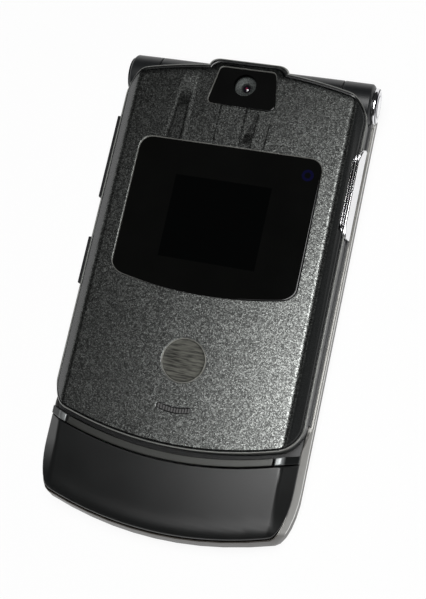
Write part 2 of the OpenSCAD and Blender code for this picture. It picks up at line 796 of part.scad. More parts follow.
// Slot through the flip's side wall for a side key
module side_slot(y, l, s) {
    hz = side_key_h / 2 + side_gap;
    x0 = half_flip - 1.2;
    x_a = s > 0 ? x0 : -far;
    x_b = s > 0 ? far : -x0;
    top = s > 0 ? far : side_key_z + hz;
    box(x_a, x_b, y - l / 2 - 0.15, y + l / 2 + 0.15, side_key_z - hz, top);
}

win_half = 18.8;
win_y0 = lip_y + 11.2;
win_y1 = neck_y - 5.7;
ear_half = 4;
ear_slot_y = lip_y + 5.4;
bumper_r = 1.3;
bumper_x = half_crest - 3;
bumper_y = lip_y + 7;

module outer_window() {
    color(BLACK) slab(window_outline(fit), cavity_z, window_top - 0.05);
}
module outer_display() {
    frame = 4;
    y0 = window_y + screen_up;
    color([0.08, 0.08, 0.1]) box(-screen_w / 2 - frame, screen_w / 2 + frame, y0 - frame,
        y0 + screen_l + frame, split_z, cavity_z);
}
module camera_window() {
    color(BLACK) slab(cam_outline(fit), cavity_z, crest_z);
}
module camera_module() {
    color(METAL) difference() {
        z_rod(module_r, 0, cam_y, hinge_z + 0.3, cavity_z);
        z_rod(lens_r + 0.2, 0, cam_y, cavity_z - lens_sink, far);
        z_rod(lens_r * 0.4, 0, cam_y, cavity_z - 2 * lens_sink, far);
    }
}
module round_plate() {
    color([0.35, 0.35, 0.32])
        z_rod(disc_r - fit, 0, lip_y + disc_up, body_h - 0.45, body_h - 0.1);
}
module speaker_mesh() {
    color([0.12, 0.12, 0.12]) slab(slot_outline(slot_w / 2 - fit), cavity_z, cavity_z + mesh_t);
}
module loudspeaker() {
    speaker_y = slot_y + 0.6;
    color(METAL) z_rod(5.4, 0, speaker_y, pack_z + 0.2, cavity_z);
}
module main_display() {
    color([0.1, 0.12, 0.16])
        box(-win_half + 0.4, win_half - 0.4, win_y0 + 0.4, win_y1 - 0.4, flip_z + inner_t, pack_z);
}
module inner_window() {
    color(BLACK) box(-win_half, win_half, win_y0, win_y1, flip_z + 0.05, flip_z + inner_t);
}
module earpiece() {
    color(METAL) box(-5.5, 5.5, ear_slot_y - 2.2, ear_slot_y + 2.8, flip_z + inner_t, pack_z - 0.2);
}
module flip_board() {
    color(BOARD) box(-win_half - 1.6, win_half + 1.6, win_y0 + 4, neck_y - 2, pack_z, split_z);
}

motor_y = lip_y + 8.6;
motor_z = (flip_z + inner_t + cavity_z) / 2;
motor_r = (cavity_z - flip_z - inner_t) / 2 - 0.25;
motor_x0 = 8.4;
motor_x1 = motor_x0 + 7.6;
weight_x1 = motor_x1 + 3.6;
motor_shaft_r = 0.4;

module vibration_motor() {
    color(METAL) difference() {
        x_rod(motor_r, motor_x0, motor_x1, motor_y, motor_z);
        x_rod(motor_shaft_r + turn, motor_x1 - 4, far, motor_y, motor_z);
    }
}
// Half disc on the motor's shaft
module motor_weight() {
    color(GOLD) {
        x_rod(motor_shaft_r, motor_x1 - 3.9, weight_x1, motor_y, motor_z);
        difference() {
            x_rod(motor_r - 0.05, motor_x1 + 0.4, weight_x1, motor_y, motor_z);
            box(-far, far, motor_y - far, motor_y + far, motor_z + motor_shaft_r * 0.5, far);
            x_rod(motor_shaft_r, 0, far, motor_y, motor_z);
        }
    }
}
module magnet() {
    color(METAL) box(-17, -13, motor_y - 1.5, motor_y + 1.5, flip_z + inner_t, flip_z + inner_t + 1.6);
}
module flip_bumpers() {
    color(BLACK) for (s = [-1, 1]) z_rod(bumper_r, s * bumper_x, bumper_y, base_h + 0.03, flip_z + 0.4);
}

// Side key: a bar through the flip's wall, with a flange that keeps it in
module side_key(y, l) {
    hz = side_key_h / 2;
    box(-half_flip - key_proud, -half_flip + 1.45, y - l / 2, y + l / 2, side_key_z - hz, side_key_z + hz);
    box(-half_flip + 1.45, -half_flip + 1.75, y - l / 2 - 0.6, y + l / 2 + 0.6,
        side_key_z - hz, side_key_z + hz);
}
module volume_key() {
    color(BLACK) side_key(volume_y, volume_l);
}
module smart_key() {
    color(BLACK) side_key(smart_y, smart_l);
}
// Bright bar with round ends and a groove along its outer face
module voice_key() {
    z0 = side_key_z - side_key_h / 2;
    top = split_z + 0.5;
    mid = (z0 + top) / 2;
    hz = (top - z0) / 2;
    span = voice_l / 2 - hz;
    x0 = voice_x + 0.1;
    color([0.85, 0.85, 0.86]) difference() {
        union() {
            for (s = [-1, 1]) x_rod(hz, x0, half_flip + key_proud, voice_y + s * span, mid);
            box(x0, half_flip + key_proud, voice_y - span, voice_y + span, z0, top);
        }
        box(half_flip + key_proud - 0.35, far, voice_y - span, voice_y + span, mid - 0.35, mid + 0.35);
    }
}

rear_housing();
front_housing();
chin_cover();
chin_strip();
keypad_web();
dome_sheet();
main_board();
shield_can();
sim_holder();
battery();
usb_port();
antenna();
hinge_cartridge();
hinge_sleeve();
hinge_caps();
base_screws();
battery_cover();
battery_latch();
flip_cover();
flip_housing();
outer_window();
outer_display();
camera_window();
camera_module();
round_plate();
speaker_mesh();
loudspeaker();
main_display();
inner_window();
earpiece();
flip_board();
vibration_motor();
magnet();
flip_bumpers();
motor_weight();
volume_key();
smart_key();
voice_key();
for (i = [0:len(GRID_KEYS) - 1])
    color(METAL) grid_key(i);
color(METAL) side_cell(true);  // key_soft_right
color(METAL) mirror([1, 0, 0]) side_cell(true);  // key_soft_left
color(METAL) side_cell(false);  // key_shortcut_right
color(METAL) mirror([1, 0, 0]) side_cell(false);  // key_shortcut_left
color(METAL) menu_cell();  // key_menu
nav_ring();
key_select();
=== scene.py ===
"""Flip phone, closed and lying on its back: its looks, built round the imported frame.

+X is to the right, +Y towards the hinge end and +Z out of the flip's outer face.
Shapes are worked out in millimetres and made in metres.
"""

import math
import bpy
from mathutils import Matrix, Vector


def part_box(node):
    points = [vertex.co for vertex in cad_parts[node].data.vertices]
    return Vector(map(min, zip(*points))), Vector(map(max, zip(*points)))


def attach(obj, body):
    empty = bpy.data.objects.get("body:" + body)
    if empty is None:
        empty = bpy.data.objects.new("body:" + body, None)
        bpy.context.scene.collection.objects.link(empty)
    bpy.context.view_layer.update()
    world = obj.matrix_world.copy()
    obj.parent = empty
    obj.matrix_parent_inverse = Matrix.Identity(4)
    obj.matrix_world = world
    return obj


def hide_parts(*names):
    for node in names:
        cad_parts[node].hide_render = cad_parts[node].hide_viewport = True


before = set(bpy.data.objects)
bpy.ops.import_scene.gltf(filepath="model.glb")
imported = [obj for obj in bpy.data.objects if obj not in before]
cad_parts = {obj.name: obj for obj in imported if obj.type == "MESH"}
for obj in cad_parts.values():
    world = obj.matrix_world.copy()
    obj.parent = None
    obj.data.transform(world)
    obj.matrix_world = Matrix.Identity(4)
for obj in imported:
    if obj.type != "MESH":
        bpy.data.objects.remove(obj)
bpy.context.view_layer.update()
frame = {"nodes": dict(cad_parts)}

from types import SimpleNamespace

import bmesh
import bpy
from mathutils import Matrix, Vector

bl_info = {
    "name": "Flip phone",
    "version": (1, 0, 0),
    "blender": (4, 5, 0),
    "location": "View3D > Sidebar > Phone",
    "description": "Dresses the packed frame of a flip phone and sets its stage",
    "category": "Object",
}

MM = 0.001


def box_mm(node):
    """Lowest and highest corner of a CAD node, in millimetres."""
    low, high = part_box(node)
    return low / MM, high / MM


def middle(node):
    """Middle of a CAD node's box, in millimetres."""
    low, high = box_mm(node)
    return (low + high) / 2


# ---- places that come from the frame, in millimetres ----

COVER_LOW, COVER_HIGH = box_mm("flip_cover")
CHIN_LOW, CHIN_HIGH = box_mm("chin_cover")
WINDOW_LOW, WINDOW_HIGH = box_mm("outer_window")
CAMERA_LOW, CAMERA_HIGH = box_mm("camera_window")
PLATE_LOW, PLATE_HIGH = box_mm("round_plate")
BACK_LOW, BACK_HIGH = box_mm("rear_housing")
HALF_FLIP = COVER_HIGH.x
LIP_Y = COVER_LOW.y
FACE_Z = COVER_HIGH.z
SPLIT_Z = COVER_LOW.z
BUMP_Y = COVER_HIGH.y
SLOPE_W = 2.9  # width of the slopes beyond the crest lines
HALF_CREST = HALF_FLIP - SLOPE_W
CROWN = 0.2  # fall of the face from its middle to the crest lines
SLOPE = (FACE_Z - CROWN - SPLIT_Z) / SLOPE_W
BOW = 4.6  # how far the lines across the phone turn up towards its sides
TOP_BOW = 3.5  # how far the flip's hinge end turns down towards its sides
TOP_Y = BUMP_Y - 1.15  # the flip's hinge end beside the camera bump
BUMP_FOOT = 8.45  # half the width of the camera bump
BUMP_ROUND = (2.25, 1.6)
LENS_Y = middle("camera_module").y
SLIT_X = 21.2  # where the chin's strip and its end pieces part
SLOT_Y = LIP_Y + 7.1
SLOT_BEND = 11
SLOT_L = 6
SCREEN_HALF = (10, 8.6)  # half the lit part of the outer display
SPOT_AT = (16.5, 26.4)  # the round indicator in the outer window
SPOT_R = 0.9


# ---- sizes and colours ----


def length(name, description, default, low, high):
    """A length property, given in millimetres."""
    return bpy.props.FloatProperty(
        name=name, description=description, default=default * MM, min=low * MM, max=high * MM,
        unit="LENGTH", precision=5)


def colour(name, description, *default):
    """A colour property, in linear values."""
    return bpy.props.FloatVectorProperty(
        name=name, description=description, default=default, min=0, max=1, size=3, subtype="COLOR")


class PhoneSizes(bpy.types.PropertyGroup):
    """Sizes that only the looks have; the others come from the frame."""

    lip_w: length("Lip", "Width of the bright lip round the flip", 0.24, 0.1, 0.3)
    frame_w: length("Frame", "Reach of the smooth frame, from the flip's edge", 0.5, 0.4, 0.8)
    groove: length("Groove", "Gap between the frame and the speckled plate", 0.06, 0.03, 0.3)
    band: length("Top band", "Reach of the frame at the hinge's end", 0.9, 0.7, 1.4)
    trim_w: length("Window trim", "Width of the bright edge round the windows", 0.14, 0.05, 0.3)
    plate_round: length("Plate edge", "Rounding of the speckled plate's edge", 0.22, 0.1, 0.6)
    crest_soft: length("Crest", "Softening of the crest lines", 0.7, 0.2, 1.2)
    edge: length("Edges", "Rounding of moulded edges", 0.12, 0.03, 0.2)
    flake: length("Flake", "Size of the paint's flakes", 0.17, 0.05, 0.5)
    digit: length("Digits", "Height of the digits on the keys", 3.3, 2, 5)
    print_t: length("Print", "Thickness of the print on the keys", 0.02, 0.01, 0.05)
    lens_clear: length("Lens opening", "Radius of the clear spot over the lens", 2.3, 1.5, 3)


class PhoneColours(bpy.types.PropertyGroup):
    """Colours of the finishes, in linear values."""

    charcoal: colour("Charcoal", "Ground of the speckled paint", 0.036, 0.037, 0.036)
    flake: colour("Flake", "Bright flakes in the paint", 0.25, 0.26, 0.25)
    # Slope: painted shade, a darker colour for the smooth slopes beyond the crest lines and, in
    # part, the hinge end of the plate
    slope: colour("Slope", "Slopes beyond the crest lines", 0.005, 0.006, 0.006)
    frame: colour("Frame", "Smooth frame round the plate", 0.008, 0.0085, 0.0085)
    chin: colour("Chin", "Soft black of the chin", 0.007, 0.0075, 0.0075)
    satin: colour("Satin black", "Moulded housings and side keys", 0.009, 0.010, 0.011)
    strip: colour("Strip", "Strip across the chin", 0.040, 0.041, 0.038)
    pewter: colour("Pewter", "Paint of the rear housing", 0.27, 0.265, 0.25)
    disc: colour("Round plate", "Brushed round plate", 0.050, 0.050, 0.043)
    metal: colour("Key metal", "Etched metal of the keys", 0.55, 0.56, 0.58)
    web: colour("Light guide", "Web between the keys", 0.55, 0.68, 0.78)
    back: colour("Battery cover", "Paint of the battery cover", 0.060, 0.061, 0.064)


def in_mm(group):
    """A property group's lengths as plain numbers, in millimetres."""
    return SimpleNamespace(**{key: getattr(group, key) / MM for key in group.__annotations__})


# ---- shader maths ----


def maths(operation, swapped=False):
    """A method of Number that adds one Math node."""
    def method(self, *others):
        values = (self, *others)
        return self.math(operation, *(values[::-1] if swapped else values))

    return method


class Number:
    """A shader socket: Python's operators on it add Math nodes."""

    def __init__(self, nodes, socket):
        self.nodes, self.socket = nodes, socket

    def math(self, operation, *values):
        return self.nodes.add("ShaderNodeMath", {"operation": operation}, dict(enumerate(values)))

    __add__ = __radd__ = maths("ADD")
    __mul__ = __rmul__ = maths("MULTIPLY")
    __sub__, __rsub__ = maths("SUBTRACT"), maths("SUBTRACT", True)
    __truediv__, __pow__, __abs__ = maths("DIVIDE"), maths("POWER"), maths("ABSOLUTE")
    low, high = maths("MINIMUM"), maths("MAXIMUM")

    def step(self, start, end):
        """0 before start, 1 after end, and smooth between them."""
        return self.nodes.add(
            "ShaderNodeMapRange", {"interpolation_type": "SMOOTHSTEP"},
            {"Value": self, "From Min": start, "From Max": end})


class Nodes:
    """A node tree. add() makes every node in it."""

    def __init__(self, tree):
        self.tree = tree

    def add(self, kind, settings=None, inputs=None, output=0):
        node = self.tree.nodes.new(kind)
        for key, value in (settings or {}).items():
            setattr(node, key, value)
        for key, value in (inputs or {}).items():
            self.feed(node.inputs[key], value)
        return Number(self, node.outputs[output])

    def feed(self, socket, value):
        if isinstance(value, Number):
            self.tree.links.new(value.socket, socket)
        elif socket.type == "RGBA":
            socket.default_value = (*value[:3], 1)
        else:
            socket.default_value = value

    def split(self, vector):
        """The three parts of a vector or colour."""
        return [self.add("ShaderNodeSeparateXYZ", None, {0: vector}, i) for i in range(3)]

    def mix(self, factor, a, b):
        return self.add("ShaderNodeMix", {"data_type": "RGBA"}, {0: factor, 6: a, 7: b}, 2)


class Finish(Nodes):
    """A procedural material on the Principled shader, with its place given in millimetres."""

    def __init__(self, name):
        scene = bpy.context.scene
        self.sizes, self.colours = in_mm(scene.phone_sizes), scene.phone_colours
        self.material = bpy.data.materials.new(name)
        self.material.use_nodes = True
        super().__init__(self.material.node_tree)
        self.shader = self.tree.nodes["Principled BSDF"]
        place = self.add("ShaderNodeTexCoord", None, None, "Object")
        self.place = self.add(
            "ShaderNodeVectorMath", {"operation": "SCALE"}, {0: place, "Scale": 1 / MM})
        self.x, self.y, self.z = self.split(self.place)

    def set(self, **values):
        """Feeds the shader's sockets: base_color=... is the socket Base Color."""
        for key, value in values.items():
            name = {"ior": "IOR", "specular": "Specular IOR Level"}.get(key)
            self.feed(self.shader.inputs[name or key.replace("_", " ").title()], value)

    def beyond_crest(self):
        """1 on the slopes beyond the crest lines and 0 on the face between them."""
        return abs(self.x).step(HALF_CREST + 0.15, HALF_CREST + 0.6)

    def far(self, x, y):
        """Distance from the upright line through x and y."""
        return ((self.x - x) ** 2 + (self.y - y) ** 2) ** 0.5

    def stretched(self, *by):
        return self.add(
            "ShaderNodeVectorMath", {"operation": "MULTIPLY"}, {0: self.place, 1: by})

    def noise(self, size, detail=3.0, vector=None):
        """Noise with features about size millimetres across."""
        return self.add("ShaderNodeTexNoise", None, {
            "Vector": vector or self.place, "Scale": 1 / size, "Detail": detail}, "Fac")

    def cells(self, size, output="Color"):
        """Random cells about size millimetres across."""
        return self.add("ShaderNodeTexVoronoi", None, {
            "Vector": self.place, "Scale": 1 / size}, output)

    def bump(self, height, strength, depth=0.02):
        """Bump of the height given, depth in millimetres."""
        self.set(normal=self.add("ShaderNodeBump", None, {
            "Strength": strength, "Distance": depth * MM, "Height": height}, "Normal"))

    def shaded(self, colour, amount, by):
        """The colour, made lighter and darker by an amount as a number goes from 0 to 1."""
        return self.mix(by, [c * (1 - amount) for c in colour], [c * (1 + amount) for c in colour])


# ---- finishes ----


def satin(f, colour, roughness, grain=0.25, tint=0.18, metallic=0.0, bump=0.12):
    """Moulded or painted surface with a fine grain and a faint mottle."""
    f.set(metallic=metallic)
    fine, broad = f.noise(grain, 2), f.noise(6)
    f.set(base_color=f.shaded(colour, tint, fine * 0.5 + broad * 0.5),
          roughness=roughness - 0.05 + fine * 0.06 + broad * 0.05)
    f.bump(fine, bump)


def brushed(f, colour, roughness, along=(1, 0.03, 1)):
    """Metal with fine lines along the axis whose number is least."""
    f.set(metallic=1.0)
    lines = f.noise(0.12, 4, f.stretched(*along))
    f.set(base_color=f.shaded(colour, 0.25, lines), roughness=roughness - 0.08 + lines * 0.16)
    f.bump(lines, 0.15, 0.01)


def speckled_paint(f):
    """Charcoal paint with bright flakes of random tilt; the slopes are smooth and darkened by
    painted shade, and painted shade darkens the face along the hinge's end.
    """
    tone, turn, tilt = f.split(f.cells(f.sizes.flake))
    slope = f.beyond_crest()
    # painted shade: the face darkens along the hinge's end, where it falls towards the groove
    shade = 1 - (TOP_Y - (f.x / HALF_FLIP) ** 2 * TOP_BOW - f.y).step(0.9, 2.2)
    flat = f.mix(tone ** 2.4, f.colours.charcoal, f.colours.flake)
    # painted shade: the slopes, and in part the band along the hinge's end, take the dark slope
    # colour
    f.set(base_color=f.mix(slope.high(shade * 0.85), flat, f.colours.slope),
          metallic=0.95 - 0.95 * slope, roughness=0.26 + turn * 0.06)
    f.bump(tilt * (1 - slope), 0.22, 0.012)


def window_gloss(f):
    """Black glass: a darker screen behind it and a faint round indicator."""
    f.set(specular=0.3)
    half_w, half_h = SCREEN_HALF
    across, along = abs(f.x) - half_w, abs(f.y - middle("outer_display").y) - half_h
    inside = 1 - across.high(along).step(-0.12, 0.12)
    ring = 1 - abs(f.far(*SPOT_AT) - SPOT_R).step(0.15, 0.4)
    smear = f.noise(9)
    shade = f.mix(inside, f.shaded((0.0030, 0.0031, 0.0029), 0.3, smear), (0.0008, 0.0010, 0.0010))
    f.set(base_color=f.mix(ring * 0.8, shade, (0.004, 0.004, 0.030)),
          roughness=0.04 + smear * 0.03)


def camera_gloss(f):
    """Black glass with a clear round spot over the lens."""
    far = f.far(0, LENS_Y)
    smear = f.noise(5)
    f.set(base_color=f.shaded((0.0035, 0.0036, 0.0035), 0.3, smear), roughness=0.05 + smear * 0.03,
          alpha=0.06 + 0.94 * far.step(f.sizes.lens_clear - 0.06, f.sizes.lens_clear + 0.06))


def lens_ring(f):
    """Stippled grey ring round the lens."""
    f.set(metallic=0.5)
    stipple = f.cells(0.22, "Distance")
    f.set(base_color=f.mix((1 - stipple) ** 2, (0.015, 0.018, 0.018), (0.20, 0.22, 0.21)),
          roughness=0.45 + f.far(0, LENS_Y) * 0.05)
    f.bump(stipple, 0.6, 0.05)


def lens_glass(f):
    """Coated lens: dark, with a painted red and violet reflection in its middle."""
    f.set(coat_weight=1.0)
    # painted reflection: a red and violet glint in the lens's middle
    painted_glint = 1 - f.far(0.05, LENS_Y).step(0.05, 0.3)
    f.set(base_color=f.mix(painted_glint, (0.008, 0.005, 0.010), (0.30, 0.02, 0.07)),
          roughness=0.03 + painted_glint * 0.1)


def strip_satin(f):
    """Satin grey strip: its short end pieces are paler, and painted shade makes its slopes dark."""
    f.set(metallic=0.6)
    fine, cloud = f.noise(0.2, 2), f.noise(5)
    ends = abs(f.x).step(SLIT_X, SLIT_X + 0.1)
    face_tone = f.mix(ends, f.shaded(f.colours.strip, 0.15, cloud), (0.24, 0.25, 0.25))
    # painted shade: the slopes beyond the crest lines take the dark slope colour
    f.set(base_color=f.mix(f.beyond_crest(), face_tone, f.colours.slope),
          roughness=0.34 + fine * 0.08)
    f.bump(fine, 0.1)


def rim_paint(f):
    """Pewter paint: a painted highlight line round its widest part; below it painted shade,
    browner, and the same browner tone towards the chin's end.
    """
    f.set(specular=0.25)
    grain = f.noise(0.14, 2)
    # painted highlight: a bright line round the widest part
    line = f.z.step(4.2, 4.5) * (1 - f.z.step(5.1, 5.4))
    end = 1 - (f.y - (f.x / HALF_FLIP) ** 2 * BOW - BACK_LOW.y).step(1.6, 2.4)
    tone = f.mix(line, f.shaded(f.colours.pewter, 0.12, grain), (0.85, 0.85, 0.82))
    # painted shade under the widest part, and the same darker, browner tone towards the chin's end
    under = (1 - f.z.step(4.0, 4.3)).high(end)
    f.set(base_color=f.mix(under, tone, f.shaded((0.045, 0.038, 0.030), 0.2, grain)),
          metallic=0.5 - 0.45 * under, roughness=0.3 + grain * 0.12)
    f.bump(grain, 0.1)


def bright_edge(f, colour, low, high):
    """Bare edge of a window: a painted highlight to the left and towards the hinge, painted shade
    elsewhere.
    """
    f.set(metallic=0.2)
    up = (f.y - (low.y + high.y) / 2) / ((high.y - low.y) / 2)
    # painted highlight on the left and hinge sides, patchy by noise; the rest is painted shade
    lit = (0.0 - f.x / high.x).high(up).step(0.4, 1.0)
    highlight_noise = f.noise(0.8)
    f.set(base_color=f.mix(lit * (0.6 + highlight_noise * 0.4), (0.015, 0.015, 0.015), colour),
          roughness=0.3 + highlight_noise * 0.1)


def cap_chrome(f):
    """Chrome of the hinge's end, with dark lines round its rim and its dome."""
    f.set(metallic=1.0)
    mid = middle("hinge_caps")
    far = ((f.y - mid.y) ** 2 + (f.z - mid.z) ** 2) ** 0.5
    smear = f.noise(1.5)
    rim = far.step(3.3, 3.4) * (1 - far.step(3.55, 3.62))
    line = rim.high(1 - abs(far - 2.2).step(0.14, 0.26))
    f.set(base_color=f.mix(line, f.shaded((0.80, 0.80, 0.82), 0.1, smear), (0.02, 0.02, 0.03)),
          roughness=0.05 + smear * 0.07)


def key_chrome(f):
    """Chrome of the bright side key: its inner part is painted dark as shade, with two painted
    highlight lines along it.
    """
    f.set(metallic=1.0)
    low, high = box_mm("voice_key")
    across = (f.x - low.x) / (high.x - low.x)
    smear = f.noise(2.5)
    # painted shade on the inner part, with two painted highlight lines along it
    bright = across.step(0.40, 0.46)
    for line in (0.08, 0.28):
        bright = bright.high(1 - abs(across - line).step(0.03, 0.07))
    f.set(base_color=f.mix(bright, (0.02, 0.02, 0.022), f.shaded((0.84, 0.84, 0.85), 0.04, smear)),
          roughness=0.08 + smear * 0.07)


def speaker_cloth(f):
    """Pale mesh behind the speaker's slot, with dark gaps and painted shade along the slot's edge.
    """
    f.set(metallic=0.6)
    angle = f.x * 5.6
    bars = abs(angle.math("SINE", angle)).step(0.35, 0.75)
    # painted shade along the slot's edge, where the opening's walls shade the mesh
    edge = abs(f.y - SLOT_Y - (f.x ** 2) / 2 / SLOT_BEND).step(0.38, 0.5)
    f.set(base_color=f.mix(bars * (1 - edge), (0.006, 0.006, 0.006), (0.085, 0.083, 0.083)),
          roughness=0.5 + edge * 0.2)
    f.bump(bars, 0.6, 0.05)


def round_brushed(f):
    """Round plate, brushed across, with a bare rim."""
    f.set(metallic=0.75)
    far = f.far(0, middle("round_plate").y)
    rim = far.step(PLATE_HIGH.x - 0.36, PLATE_HIGH.x - 0.28)
    lines = f.noise(0.3, 3, f.stretched(0.12, 1, 1))
    cloud = f.noise(1.6)
    face_tone = f.shaded(f.colours.disc, 0.9, lines.step(0.3, 0.7) * 0.8 + cloud * 0.2)
    f.set(base_color=f.mix(rim, face_tone, (0.16, 0.16, 0.145)), roughness=0.36 + lines * 0.2)
    f.bump(lines, 0.35, 0.02)


def light_guide(f):
    """Cloudy plastic that carries the keypad's light."""
    f.set(ior=1.5)
    cloud = f.noise(1.5)
    f.set(base_color=f.shaded(f.colours.web, 0.1, cloud), roughness=0.35 + cloud * 0.15)


def solder_mask(f):
    """Green board with paler tracks."""
    track = f.add("ShaderNodeTexBrick", {"offset": 0.37}, {
        "Vector": f.place, "Scale": 0.45, "Mortar Size": 0.03}, "Fac")
    f.set(base_color=f.mix(track, (0.02, 0.10, 0.05), (0.05, 0.20, 0.10)),
          roughness=0.3 + track * 0.15)
    f.bump(track, 0.3, 0.03)


def inner_gloss(f):
    """Black inner window with the dark main display behind it."""
    low, high = box_mm("main_display")
    mid, half = (low + high) / 2, (high - low) / 2
    inside = 1 - (abs(f.x) - half.x + 1.5).high(abs(f.y - mid.y) - half.y + 1.5).step(-0.1, 0.1)
    smear = f.noise(12)
    f.set(base_color=f.mix(inside, f.shaded((0.006, 0.006, 0.007), 0.3, smear),
                           (0.016, 0.020, 0.028)),
          roughness=0.04 + smear * 0.04)


def ink(f, colour):
    """Print on the keys."""
    f.set(base_color=f.shaded(colour, 0.08, f.noise(0.3)), roughness=0.45 + f.noise(0.2) * 0.1)


RECIPES = {recipe.__name__: recipe for recipe in (
    speckled_paint, window_gloss, camera_gloss, lens_ring, lens_glass, strip_satin, rim_paint,
    cap_chrome, key_chrome, speaker_cloth, round_brushed, light_guide, solder_mask, inner_gloss)}
SHARED_RECIPES = {
    # how it is made, its colour or that colour's name, and the recipe's other values in turn
    "smooth_frame": (satin, "frame", 0.26),
    "chin_satin": (satin, "chin", 0.32, 0.25, 0.25, 0.0, 0.05),
    "satin_black": (satin, "satin", 0.38),
    # pale lip: partly the bare edge's own colour and partly a painted highlight
    "lip_metal": (satin, (0.25, 0.255, 0.24), 0.3, 0.4, 0.15, 0.2),
    "cap_black": (satin, (0.02, 0.021, 0.024), 0.2),
    "key_black": (satin, (0.006, 0.006, 0.007), 0.35),
    "back_paint": (satin, "back", 0.4, 0.16, 0.3, 0.3),
    "rubber": (satin, (0.018, 0.018, 0.018), 0.7, 0.3, 0.2),
    "wrap": (satin, (0.06, 0.062, 0.07), 0.45, 0.5, 0.2),
    "film": (satin, (0.6, 0.6, 0.55), 0.4, 0.4, 0.1),
    "tinned": (satin, (0.58, 0.58, 0.6), 0.3, 0.5, 0.1, 1.0),
    "sintered": (satin, (0.4, 0.37, 0.35), 0.5, 0.15, 0.3, 1.0),
    "display": (satin, (0.012, 0.014, 0.02), 0.15, 0.3, 0.2),
    "etched_metal": (brushed, "metal", 0.36, (0.05, 1, 1)),
    "ground_steel": (brushed, (0.5, 0.5, 0.52), 0.34, (0.1, 1, 1)),
    "brass": (brushed, (0.75, 0.55, 0.22), 0.3),
    # the bare windows' edges: painted highlight colour, dark elsewhere as painted shade
    "window_edge": (bright_edge, (0.27, 0.27, 0.25), WINDOW_LOW, WINDOW_HIGH),
    "camera_edge": (bright_edge, (0.27, 0.27, 0.25), CAMERA_LOW, CAMERA_HIGH),
    "dark_ink": (ink, (0.02, 0.022, 0.026)),
    "green_ink": (ink, (0.02, 0.35, 0.08)),
    "red_ink": (ink, (0.50, 0.02, 0.02)),
}


def finish(name):
    """The material of that name, made when it is first asked for."""
    if name not in bpy.data.materials:
        f = Finish(name)
        if name in RECIPES:
            RECIPES[name](f)
        else:
            make, tone, *values = SHARED_RECIPES[name]
            make(f, getattr(f.colours, tone) if isinstance(tone, str) else tone, *values)
    return bpy.data.materials[name]


# ---- outlines, in millimetres, anticlockwise ----


def edge_xs(half, corner, n=18, m=9):
    """Places across an edge, closer together in its corners."""
    bend = [half - corner + corner * math.sin(math.pi / 2 * i / m) for i in range(1, m + 1)]
    return [-x for x in reversed(bend)] + [
        (half - corner) * i / n for i in range(-n, n + 1)] + bend


def draw_in(x, half, bow, cx, cy):
    """How far an edge has drawn in at x, by its bow and its corner."""
    t = max(0.0, (abs(x) - half + cx) / cx)
    return bow * (x / HALF_FLIP) ** 2 + cy * (1 - math.sqrt(max(0.0, 1 - t * t)))


def plan(half, low, top, top_xs=None, lift=None):
    """Outline of half width half; each end is (y, bow, corner x, corner y)."""
    lower = [Vector((x, low[0] + draw_in(x, half, *low[1:]))) for x in edge_xs(half, low[2])]
    upper = [Vector((x, top[0] - draw_in(x, half, *top[1:])))
             for x in sorted(top_xs or edge_xs(half, top[2]), reverse=True)]
    if lift:
        for p in upper:
            p.y = max(p.y, lift(abs(p.x)))
    return lower + upper


def inset_end(end, d, toward):
    """An end drawn in by d; toward is 1 for the chin's end and -1 for the hinge's."""
    y, bow, cx, cy = end
    return (y + toward * d, bow, max(0.4, cx - d), max(0.4, cy - d))


FLIP_LOW = (LIP_Y, BOW, 4, 4.5)
FLIP_TOP = (TOP_Y, TOP_BOW, 4.4, 4.5)


def flip_plan(d, bump_y, bump_x, more=0.0):
    """Flip's outline drawn in by d, with the camera bump up to bump_y and out to bump_x."""
    wide, tall = BUMP_ROUND

    def lift(x):
        t = min(1.0, max(0.0, (x - bump_x + wide) / wide))
        return bump_y - tall * (1 - math.sqrt(1 - t * t)) if x < bump_x else -99.0

    half = HALF_FLIP - d
    top = inset_end(FLIP_TOP, d + more, -1)
    right = [(bump_x - wide) * i / 8 for i in range(1, 8)]
    right += [bump_x - wide + wide * math.sin(math.pi / 2 * i / 8) - 1e-4 for i in range(9)]
    right += [bump_x + 0.02 + (half - top[2] - bump_x - 0.02) * i / 12 for i in range(13)]
    right += [half - top[2] + top[2] * math.sin(math.pi / 2 * i / 9) for i in range(1, 10)]
    xs = [-x for x in right] + [0.0] + right
    return plan(half, inset_end(FLIP_LOW, d, 1), top, xs, lift)


def outer_plan(d):
    """The flip's outline drawn in by d."""
    return flip_plan(d, BUMP_Y - d, BUMP_FOOT - d)


def inner_plan(d, sizes):
    """The flip's outline drawn in by d, and by more at the hinge's end."""
    more = sizes.band - sizes.frame_w
    return flip_plan(d, BUMP_Y - d - more, BUMP_FOOT - d - more * 0.6, more)


def offset(points, d):
    """A closed outline drawn in by d."""
    moved = []
    for i, b in enumerate(points):
        a, c = points[i - 1], points[(i + 1) % len(points)]
        u, v = (b - a).normalized(), (c - b).normalized()
        side = Vector((-u.y, u.x))
        m = (side + Vector((-v.y, v.x))).normalized()
        moved.append(b + m * (d / max(0.4, m.dot(side))))
    return moved


def rounded_box(x0, x1, y0, y1, r, n=6):
    """Rectangle with round corners."""
    corners = [(x1 - r, y0 + r, -90), (x1 - r, y1 - r, 0),
               (x0 + r, y1 - r, 90), (x0 + r, y0 + r, 180)]
    return [Vector((cx + r * math.cos(math.radians(a + 90 * i / n)),
                    cy + r * math.sin(math.radians(a + 90 * i / n))))
            for cx, cy, a in corners for i in range(n + 1)]


def soft_min(a, b, k):
    """The lesser of two numbers, blended where they are less than k apart."""
    h = max(k - abs(a - b), 0.0) / k
    return min(a, b) - h * h * k / 4


def face(x, top, soft):
    """Height of a crowned face at x, with the slope beyond the crest line."""
    flat = top - CROWN * (x / HALF_CREST) ** 2
    return soft_min(flat, top - CROWN - SLOPE * (abs(x) - HALF_CREST), soft)


